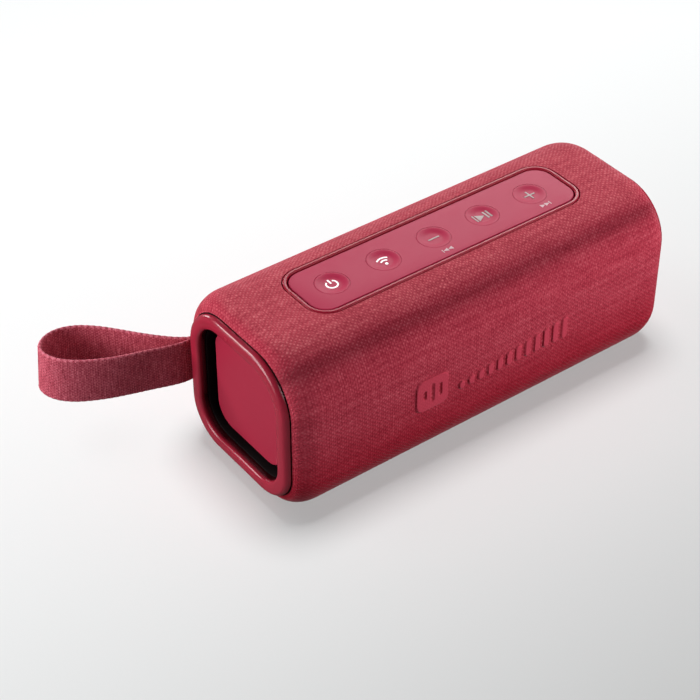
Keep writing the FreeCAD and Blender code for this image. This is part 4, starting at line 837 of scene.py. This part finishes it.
def build_panel():
    profile = [(0.4, 69.65), (0.0, 69.95)]  # inset, z
    for degrees in (0, 18, 36, 54, 72, 90):
        q = math.radians(degrees)
        profile.append((PANEL_EDGE * (1 - math.cos(q)),
                        PANEL_TOP - PANEL_EDGE + PANEL_EDGE * math.sin(q)))
    verts = []
    for inset, z in profile:
        outline = rrect(PANEL_LENGTH - 2 * inset, PANEL_DEPTH - 2 * inset, PANEL_RADIUS - inset, n=12)
        verts += [(x, y, z) for x, y in outline]
    n = len(outline)
    faces = grid_faces(len(profile), n, close_cols=True)
    faces.append(tuple(range(n - 1, -1, -1)))
    faces.append(tuple(range(len(verts) - n, len(verts))))
    o = make("key_panel_skin", verts, faces)
    fix_normals(o)
    cutters = []
    for key_x in KEY_X.values():
        for radius, low, high in ((POCKET_R, 60, POCKET_TOP), (WINDOW_R, 65, 80)):
            outline = circle_pts(radius, 0, 360, 72, cx=key_x)[:-1]
            cutters.append(prism("cut", outline, low, high))
    cut_away(o, cutters)
    smooth_by_angle(o, 35)
    fit(o, PANEL_MAT, "control_panel", "cabinet")


def build_key(key):
    profile = list(KEY_SIDE)
    for degrees in (15, 45, 75):
        q = math.radians(degrees)
        profile.append((KEY_R - KEY_EDGE * (1 - math.cos(q)), 72.14 + KEY_EDGE * math.sin(q)))
    profile += [(r, float(dish_z(r))) for r in DISH_RADII]
    n = 72
    x = KEY_X[key]
    turns = [2 * math.pi * i / n for i in range(n)]
    verts = [(x, 0, profile[0][1])]
    for r, z in profile[1:-1]:
        verts += [(x + r * math.cos(a), r * math.sin(a), z) for a in turns]
    verts.append((x, 0, profile[-1][1]))
    last = len(profile) - 3  # index of the last full ring
    faces = []
    for i in range(n):
        j = (i + 1) % n
        faces.append((0, 1 + j, 1 + i))
        for k in range(last):
            low, high = 1 + k * n, 1 + (k + 1) * n
            faces.append((low + i, low + j, high + j, high + i))
        faces.append((len(verts) - 1, 1 + last * n + i, 1 + last * n + j))
    o = make("key_cap_" + key, verts, faces)
    fix_normals(o)
    smooth_by_angle(o, 50)
    fit(o, PANEL_MAT, "button_" + key, key + "_key")


build_panel()
for key in KEYS:
    build_key(key)


# ---------------------------------------------------------------- symbols: thin inlays on the dished keys and the panel
def dish(x, y):
    return dish_z(np.hypot(x, y))


def flat(x, y):
    return np.full_like(x, PANEL_TOP)


def stroke(points, width):
    """The (left, right) edges of a stroke along the points."""
    P = np.array(points, float)
    tangent = np.gradient(P, axis=0)
    tangent /= np.maximum(1e-9, np.linalg.norm(tangent, axis=1))[:, None]
    normal = np.column_stack([-tangent[:, 1], tangent[:, 0]]) * width / 2
    return P + normal, P - normal


def bar(x0, y0, x1, y1, width, n=4):
    points = [(x0 + (x1 - x0) * i / n, y0 + (y1 - y0) * i / n) for i in range(n + 1)]
    return stroke(points, width)


def triangle(x, width, height, flip=1):
    """Pointing to +X, or to -X when flip is -1."""
    return [(x, -height / 2), (x + flip * width, 0), (x, height / 2)]


def strip_faces(b, n):
    """Faces of a slab between two edges; b is its first vertex."""
    tl, tr, bl, br = b, b + n, b + 2 * n, b + 3 * n  # top left, top right, bottom left and right
    faces = []
    for i in range(n - 1):
        j = i + 1
        faces += [(tl + i, tl + j, tr + j, tr + i), (bl + j, bl + i, br + i, br + j),
                  (tl + j, tl + i, bl + i, bl + j), (tr + i, tr + j, br + j, br + i)]
    faces += [(tl, tr, br, bl), (tr + n - 1, tl + n - 1, bl + n - 1, br + n - 1)]
    return faces


def polygon_faces(b, n):
    """Faces of a slab with an outline of n points; b is its first vertex."""
    faces = [tuple(range(b, b + n)), tuple(range(b + 2 * n - 1, b + n - 1, -1))]
    for i in range(n):
        j = (i + 1) % n
        faces.append((b + i, b + j, b + n + j, b + n + i))
    return faces


def inlay(name, shapes, surface, origin, body, material, lift=0.14, thick=0.5):
    """Lay shapes, strokes as (left, right) or filled outlines as lists, on a surface."""
    verts, faces = [], []
    for shape in shapes:
        is_stroke = isinstance(shape, tuple)
        edges = shape if is_stroke else (shape,)
        add_faces = strip_faces if is_stroke else polygon_faces
        faces += add_faces(len(verts), len(edges[0]))
        verts += [(x, y, dz) for dz in (lift, lift - thick) for edge in edges for x, y in edge]
    x, y, dz = np.array(verts).T
    placed = np.column_stack([x + origin[0], y + origin[1], surface(x, y) + dz])
    o = make(name, placed, faces, smooth=False)
    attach(o, body)
    fix_normals(o)
    o.data.materials.append(material)


def key_symbol(name, key, material, shapes):
    inlay(name, shapes, dish, (KEY_X[key], 0), key + "_key", material)


def skip_symbol(name, key, flip, offset):
    """Two small triangles and a bar on the panel, in front of a key."""
    shapes = [bar(flip * 2.3, -0.95, flip * 2.3, 0.95, width=0.35)]
    shapes += [triangle(x, width=2.0, height=1.9, flip=flip) for x in (0.0, -flip * 2.1)]
    origin = (KEY_X[key] + offset[0], offset[1])
    inlay(name, shapes, flat, origin, "cabinet", PALE, lift=0.05, thick=0.2)


def lit_material():
    m = NodeMaterial("symbol_lit_white")
    speckle = m.noise(m.coord("Object"), scale=900.0)
    m.set(
        Base_Color=m.mix(speckle, (0.86, 0.84, 0.85), (0.95, 0.93, 0.94)),
        Roughness=0.45,
        Emission_Color=(1.0, 0.93, 0.95, 1),
        Emission_Strength=0.35)
    return m.material


LIT = lit_material()
GREY = plastic("symbol_print_grey", (0.42, 0.30, 0.30), rough=0.5, vary=0.08)
PALE = plastic("symbol_print_pale", (0.62, 0.38, 0.42), rough=0.5, vary=0.08)
LINE = 0.62  # stroke width
PAIRING_Y = -1.9  # centre of the pairing symbol's dot and arcs

key_symbol("symbol_power", "power", LIT,
           [stroke(circle_pts(2.15, 125, 415, 30), LINE), bar(0, 0.5, 0, 2.9, LINE)])
key_symbol("symbol_pairing", "pairing", LIT,
           [circle_pts(0.62, 0, 345, 14, 0, PAIRING_Y),
            stroke(circle_pts(2.1, 48, 132, 12, 0, PAIRING_Y), LINE),
            stroke(circle_pts(3.7, 50, 130, 16, 0, PAIRING_Y), LINE)])
key_symbol("symbol_minus", "volume_down", GREY, [bar(-2.5, 0, 2.5, 0, LINE)])
key_symbol("symbol_plus", "volume_up", GREY,
           [bar(-2.5, 0, 2.5, 0, LINE), bar(0, LINE / 2, 0, 2.5, LINE),
            bar(0, -2.5, 0, -LINE / 2, LINE)])
key_symbol("symbol_play_pause", "play_pause", GREY,
           [bar(-3.4, -2.1, -3.4, 2.1, 0.55), triangle(-2.5, 3.3, 4.0),
            bar(1.7, -2.1, 1.7, 2.1, 0.7), bar(3.1, -2.1, 3.1, 2.1, 0.7)])
skip_symbol("symbol_previous", "volume_down", flip=-1, offset=(-0.4, -9.0))
skip_symbol("symbol_next", "volume_up", flip=1, offset=(0.2, -8.8))

# ---------------------------------------------------------------- end rings: the moulded face of each, crowned and smooth
RING_FACE_X = 90.0
RING_OUTER_R, RING_INNER_R = 2.1, 1.3  # rounding of the face's two edges
RING_PROUD = 0.05  # how far the skin stands off the CAD ring
RING_CROWN = 0.10
# rounded rectangle inside which the ring is darkened by painted shade: corner centre from the middle in y and z, radius
SHADOW_Y, SHADOW_Z, SHADOW_R = 11.5, 12.1, 14.0


def ring_material():
    """Glossy moulded plastic with painted shade: it fades to black down the wall of the opening."""
    m = plastic_nodes("plastic_ring_red", (0.40, 0.018, 0.045), rough=0.26, grain=0.02, coat=0.1)
    plain = m.bsdf.inputs["Base Color"].links[0].from_socket
    x, y, z = m.split(m.coord("Object"))
    beyond_y = m.minus(m.op("ABSOLUTE", y), SHADOW_Y * MM)
    beyond_z = m.minus(m.op("ABSOLUTE", m.minus(z, MID_Z * MM)), SHADOW_Z * MM)
    from_corner = m.hypot(m.op("MAXIMUM", beyond_y, 0.0), m.op("MAXIMUM", beyond_z, 0.0))
    within = m.op("LESS_THAN", from_corner, SHADOW_R * MM)
    depth = m.minus(89.3 * MM, m.op("ABSOLUTE", x))
    deep = m.op("MULTIPLY", depth, 1 / (1.5 * MM), clamp=True)
    m.set(Base_Color=m.mix(m.times(within, deep), plain, (0.03, 0.0015, 0.003)))
    return m.material


def ring_section(width):
    """Closed section as (distance from the body's middle, inset from the ring's outer edge)."""
    proud, outer_r, inner_r = RING_PROUD, RING_OUTER_R, RING_INNER_R
    section = [(87.66, -proud), (87.8, -proud)]
    for q in np.radians(np.linspace(0, 90, 11)):
        section.append((RING_FACE_X - outer_r + (outer_r + proud) * math.sin(q),
                        outer_r - (outer_r + proud) * math.cos(q)))
    for t in (0.25, 0.5, 0.75):
        section.append((RING_FACE_X + proud + RING_CROWN * math.sin(math.pi * t),
                        outer_r + (width - (outer_r + inner_r)) * t))
    for q in np.radians(np.linspace(90, 0, 10)):
        section.append((RING_FACE_X - inner_r + (inner_r + proud) * math.sin(q),
                        width - inner_r + (inner_r + proud) * math.cos(q)))
    section += [(87.6, width + proud), (86.2, width + proud), (86.0, width + 0.01),
                (86.0, width - 0.5), (88.3, width - 1.2), (88.3, 1.6), (87.66, 0.7)]
    return section


def with_straights(outline, steps=7):
    """The outline with extra points along its four straight sides."""
    per_arc = len(outline) // 4
    points = []
    for i in range(4):
        points += outline[i * per_arc:(i + 1) * per_arc]
        (x0, y0), (x1, y1) = points[-1], outline[(i + 1) * per_arc % len(outline)]
        points += [(x0 + (x1 - x0) * t / steps, y0 + (y1 - y0) * t / steps)
                   for t in range(1, steps)]
    return np.array(points)


def build_ring_skin(side, material):
    outer = with_straights(rrect(60.5, 61.0, 19.85, 16.35, n=18))
    inward = with_straights(rrect(*OPENING, n=18)) - outer
    width = np.linalg.norm(inward, axis=1)
    inward = inward / width[:, None]
    section = ring_section(width)
    verts = []
    for x, inset in section:
        points = outer + inward * (inset + 0 * width)[:, None]
        verts += [(SIDES[side] * x, y, MID_Z + z) for y, z in points]
    faces = grid_faces(len(section), len(outer), close_rows=True, close_cols=True)
    o = make("ring_face_" + side, verts, faces)
    fix_normals(o)
    smooth_by_angle(o, 60)
    fit(o, material, "end_ring_" + side, "cabinet", replaces=False)


RING_MAT = ring_material()
for side in SIDES:
    build_ring_skin(side, RING_MAT)

# ---------------------------------------------------------------- finishes of the CAD nodes
finished = {"fabric_cover", "wrist_strap"}


def finish(names, material):
    for name in names.split():
        materials = NODES[name].data.materials
        materials.clear()
        materials.append(material)
        finished.add(name)


finish("end_ring_left end_ring_right", RING_MAT)
finish("panel_trim_ring",
       plastic("plastic_trim_red", (0.36, 0.014, 0.036), rough=0.27, grain=0.02, specular=0.16))
finish("radiator_plate_left radiator_plate_right",
       plastic("plastic_plate_red", (0.43, 0.018, 0.052), rough=0.42, grain=0.02,
               grain_scale=1800, vary=0.03))
finish("control_panel button_power button_pairing button_volume_down button_play_pause "
       "button_volume_up", PANEL_MAT)
finish("radiator_surround_left radiator_surround_right driver_surround_left "
       "driver_surround_right enclosure_gasket driver_gaskets keypad_mat feet port_flap",
       plastic("rubber_black", (0.012, 0.011, 0.012), rough=0.62, grain=0.08))
finish("grille_sleeve",
       plastic("plastic_carrier_dark", (0.016, 0.003, 0.005), rough=0.9, grain=0.10,
               specular=0.08))
finish("radiator_frame_left radiator_frame_right port_panel enclosure_tub enclosure_baffle "
       "battery_cradle aux_socket",
       plastic("plastic_black", (0.014, 0.013, 0.014), rough=0.45, grain=0.10))
finish("radiator_weight_left radiator_weight_right radiator_screws enclosure_screws "
       "driver_screws board_screws control_board_screws strap_pin usb_socket snap_domes",
       plastic("steel_zinc", (0.60, 0.60, 0.62), rough=0.32, metallic=1.0, grain=0.05))
finish("driver_basket_left driver_basket_right driver_yoke_left driver_yoke_right",
       plastic("steel_black", (0.09, 0.09, 0.10), rough=0.45, metallic=0.8))
finish("driver_magnet_left driver_magnet_right",
       plastic("ferrite", (0.035, 0.034, 0.036), rough=0.7, grain=0.2))
finish("driver_cone_left driver_cone_right",
       plastic("paper_cone", (0.03, 0.03, 0.033), rough=0.8, grain=0.3, grain_scale=1500))
finish("driver_spider_left driver_spider_right",
       plastic("spider_cloth", (0.45, 0.30, 0.10), rough=0.85, grain=0.4, grain_scale=1200))
finish("voice_coil_left voice_coil_right",
       plastic("copper_wire", (0.65, 0.26, 0.12), rough=0.35, metallic=1.0))
finish("main_board control_board", plastic("board_green", (0.01, 0.09, 0.035), rough=0.35))
finish("board_components tact_switches",
       plastic("component_black", (0.02, 0.02, 0.022), rough=0.4))
finish("status_leds", plastic("led_white", (0.8, 0.8, 0.74), rough=0.3))
finish("battery_cells", plastic("cell_sleeve_blue", (0.02, 0.09, 0.28), rough=0.3))
finish("wiring_loom", plastic("wire_pvc", (0.05, 0.05, 0.055), rough=0.45))
missing = [name for name in NODES if name not in finished]
if missing:
    raise RuntimeError("no finish for %s" % missing)

# ---------------------------------------------------------------- camera
CAMERA_AZIMUTH, CAMERA_ELEVATION = math.radians(-36.7344), math.radians(39.309)
CAMERA_AT = (-376.47, -452.09, 499.38)


def build_camera():
    data = bpy.data.cameras.new("camera")
    data.sensor_width = 36.0
    data.lens = 101.397
    data.clip_start, data.clip_end = 0.01, 50
    camera = link(bpy.data.objects.new("camera", data))
    camera.location = Vector(CAMERA_AT) * MM
    level = math.cos(CAMERA_ELEVATION)
    backward = Vector((math.sin(CAMERA_AZIMUTH) * level, -math.cos(CAMERA_AZIMUTH) * level,
                       math.sin(CAMERA_ELEVATION)))
    camera.rotation_mode = "QUATERNION"
    camera.rotation_quaternion = (-backward).to_track_quat("-Z", "Y")
    scene.camera = camera


build_camera()

# ---------------------------------------------------------------- floor (material distances in metres)
FLOOR_BOUNCE = 0.15  # tone of the floor for everything but the camera
# tone seen by the camera, in a = distance away from it and s = distance to its right: painted light, standing in for
# the light falling off across the floor
TONE_CONSTANT, TONE_A, TONE_S = 0.785, 0.82, -0.68
TONE_AA, TONE_AS, TONE_SS = -0.4543, 2.0822, 0.0309


def floor_material():
    """Painted light: white at the far left to light grey at the near right, standing in for the light's fall-off across
    the floor, then a pale glow further out.
    """
    m = NodeMaterial("floor_pale")
    x, y, _ = m.split(m.add("ShaderNodeNewGeometry").outputs["Position"])
    camera_ray = m.add("ShaderNodeLightPath").outputs["Is Camera Ray"]

    def distance_along(direction):
        return m.plus(m.times(x, direction.x), m.times(y, direction.y))

    away = Vector((-math.sin(CAMERA_AZIMUTH), math.cos(CAMERA_AZIMUTH), 0))
    right = Vector((math.cos(CAMERA_AZIMUTH), math.sin(CAMERA_AZIMUTH), 0))
    a = m.limit(distance_along(away), -0.30, 0.36)
    s = m.limit(distance_along(right), -0.26, 0.24)
    tone = m.plus(TONE_CONSTANT, m.plus(m.times(a, TONE_A), m.times(s, TONE_S)))
    for p, q, weight in ((a, a, TONE_AA), (a, s, TONE_AS), (s, s, TONE_SS)):
        tone = m.plus(tone, m.times(m.times(p, q), weight))
    speckle = m.noise(m.coord("Object"), scale=900.0)
    tone = m.times(m.limit(tone, 0.54, 0.97), m.mixf(speckle, 0.995, 1.005))
    # a touch less red: painted to offset the pink light that the speaker bounces onto the floor
    painted = m.combine(m.times(tone, 0.985), tone, tone)
    m.set(
        Base_Color=m.mix(camera_ray, (FLOOR_BOUNCE,) * 3, painted),
        Roughness=1.0,
        Specular_IOR_Level=0.0)
    glow = m.add("ShaderNodeEmission")
    m.put(glow, "Color", (0.93, 0.93, 0.93, 1))
    far = m.fade(m.hypot(x, y), start=0.36, span=0.34)
    eased = m.times(far, m.times(far, m.minus(3.0, m.times(far, 2.0))))
    blend = m.add("ShaderNodeMixShader")
    m.put(blend, 0, m.times(eased, camera_ray))
    m.put(blend, 1, m.bsdf.outputs[0])
    m.put(blend, 2, glow.outputs[0])
    m.put(m.output, "Surface", blend.outputs[0])
    return m.material


FLOOR_HALF = 6000
floor = make("floor", [(sx * FLOOR_HALF, sy * FLOOR_HALF, 0)
                       for sx, sy in ((-1, -1), (1, -1), (1, 1), (-1, 1))],
             [(0, 1, 2, 3)], smooth=False)
floor.data.materials.append(floor_material())


# ---------------------------------------------------------------- world: dim light, pale to the camera
def build_world():
    world = bpy.data.worlds.new("studio")
    scene.world = world
    world.use_nodes = True
    nodes, links = world.node_tree.nodes, world.node_tree.links
    nodes.clear()
    output = nodes.new("ShaderNodeOutputWorld")
    background = nodes.new("ShaderNodeBackground")
    light_path = nodes.new("ShaderNodeLightPath")
    mix = nodes.new("ShaderNodeMix")
    mix.data_type = "RGBA"
    links.new(light_path.outputs["Is Camera Ray"], mix.inputs[0])
    mix.inputs[6].default_value = (0.03, 0.03, 0.03, 1)
    mix.inputs[7].default_value = (0.93, 0.93, 0.93, 1)
    links.new(mix.outputs[2], background.inputs[0])
    background.inputs[1].default_value = 1.0
    links.new(background.outputs[0], output.inputs[0])


build_world()

# ---------------------------------------------------------------- lights (metres)
# Some soft boxes light only the speaker and some only the floor. One floor light ignores the
# speaker's shadow, so the shadow's depth is set apart from the light on the speaker.
AIM = Vector((0, 0, 0.035))


def linking_set(name, o, state):
    collection = bpy.data.collections.new(name)
    collection.objects.link(o)
    collection.collection_objects[0].light_linking.link_state = state
    return collection


only_floor = linking_set("lit_floor_only", floor, "INCLUDE")
no_floor = linking_set("lit_all_but_floor", floor, "EXCLUDE")
no_strap = linking_set("shadow_all_but_strap", strap, "EXCLUDE")


def toward(azimuth, elevation):
    """The place 1.3 m from the speaker in a direction given in degrees."""
    t, e = math.radians(azimuth), math.radians(elevation)
    level = math.cos(e)
    return AIM + 1.3 * Vector((math.cos(t) * level, math.sin(t) * level, math.sin(e)))


def at_mm(x, y, z):
    return Vector((x, y, z)) * MM


def softbox(name, place, power, size, receivers, blockers=None):
    data = bpy.data.lights.new("softbox_" + name, "AREA")
    data.shape, data.size, data.energy = "DISK", size, power
    o = link(bpy.data.objects.new("softbox_" + name, data))
    o.location = place
    o.rotation_mode = "QUATERNION"
    o.rotation_quaternion = (AIM - place).to_track_quat("-Z", "Y")
    o.visible_camera = False
    o.light_linking.receiver_collection = receivers
    if blockers:
        o.light_linking.blocker_collection = blockers


# place, power in watts, diameter
SPEAKER_LIGHTS = [
    (toward(53, 32), 7.4, 0.6), (toward(28, 32), 7.0, 0.6), (toward(173, 4), 4.6, 0.6),
    (toward(136, 28), 3.4, 0.2), (toward(94, 10), 2.2, 0.2),
    (at_mm(-450, 150, 200), 1.11, 0.25), (at_mm(150, -350, 250), 0.67, 0.25),
    (at_mm(300, -300, 100), 0.59, 0.25), (at_mm(350, -300, 220), 0.18, 0.3)]
for i, (place, power, size) in enumerate(SPEAKER_LIGHTS):
    softbox("speaker_%d" % i, place, power, size, receivers=no_floor)

# place, power in watts, what casts shadows in it
FLOOR_LIGHTS = [
    (toward(53, 85), 9.3, no_strap), (toward(53, 85), 9.7, only_floor), (toward(143, 55), 1.0, None)]
for i, (place, power, blockers) in enumerate(FLOOR_LIGHTS):
    softbox("paper_%d" % i, place, power, 0.6, receivers=only_floor, blockers=blockers)
scene.view_settings.view_transform = "Standard"
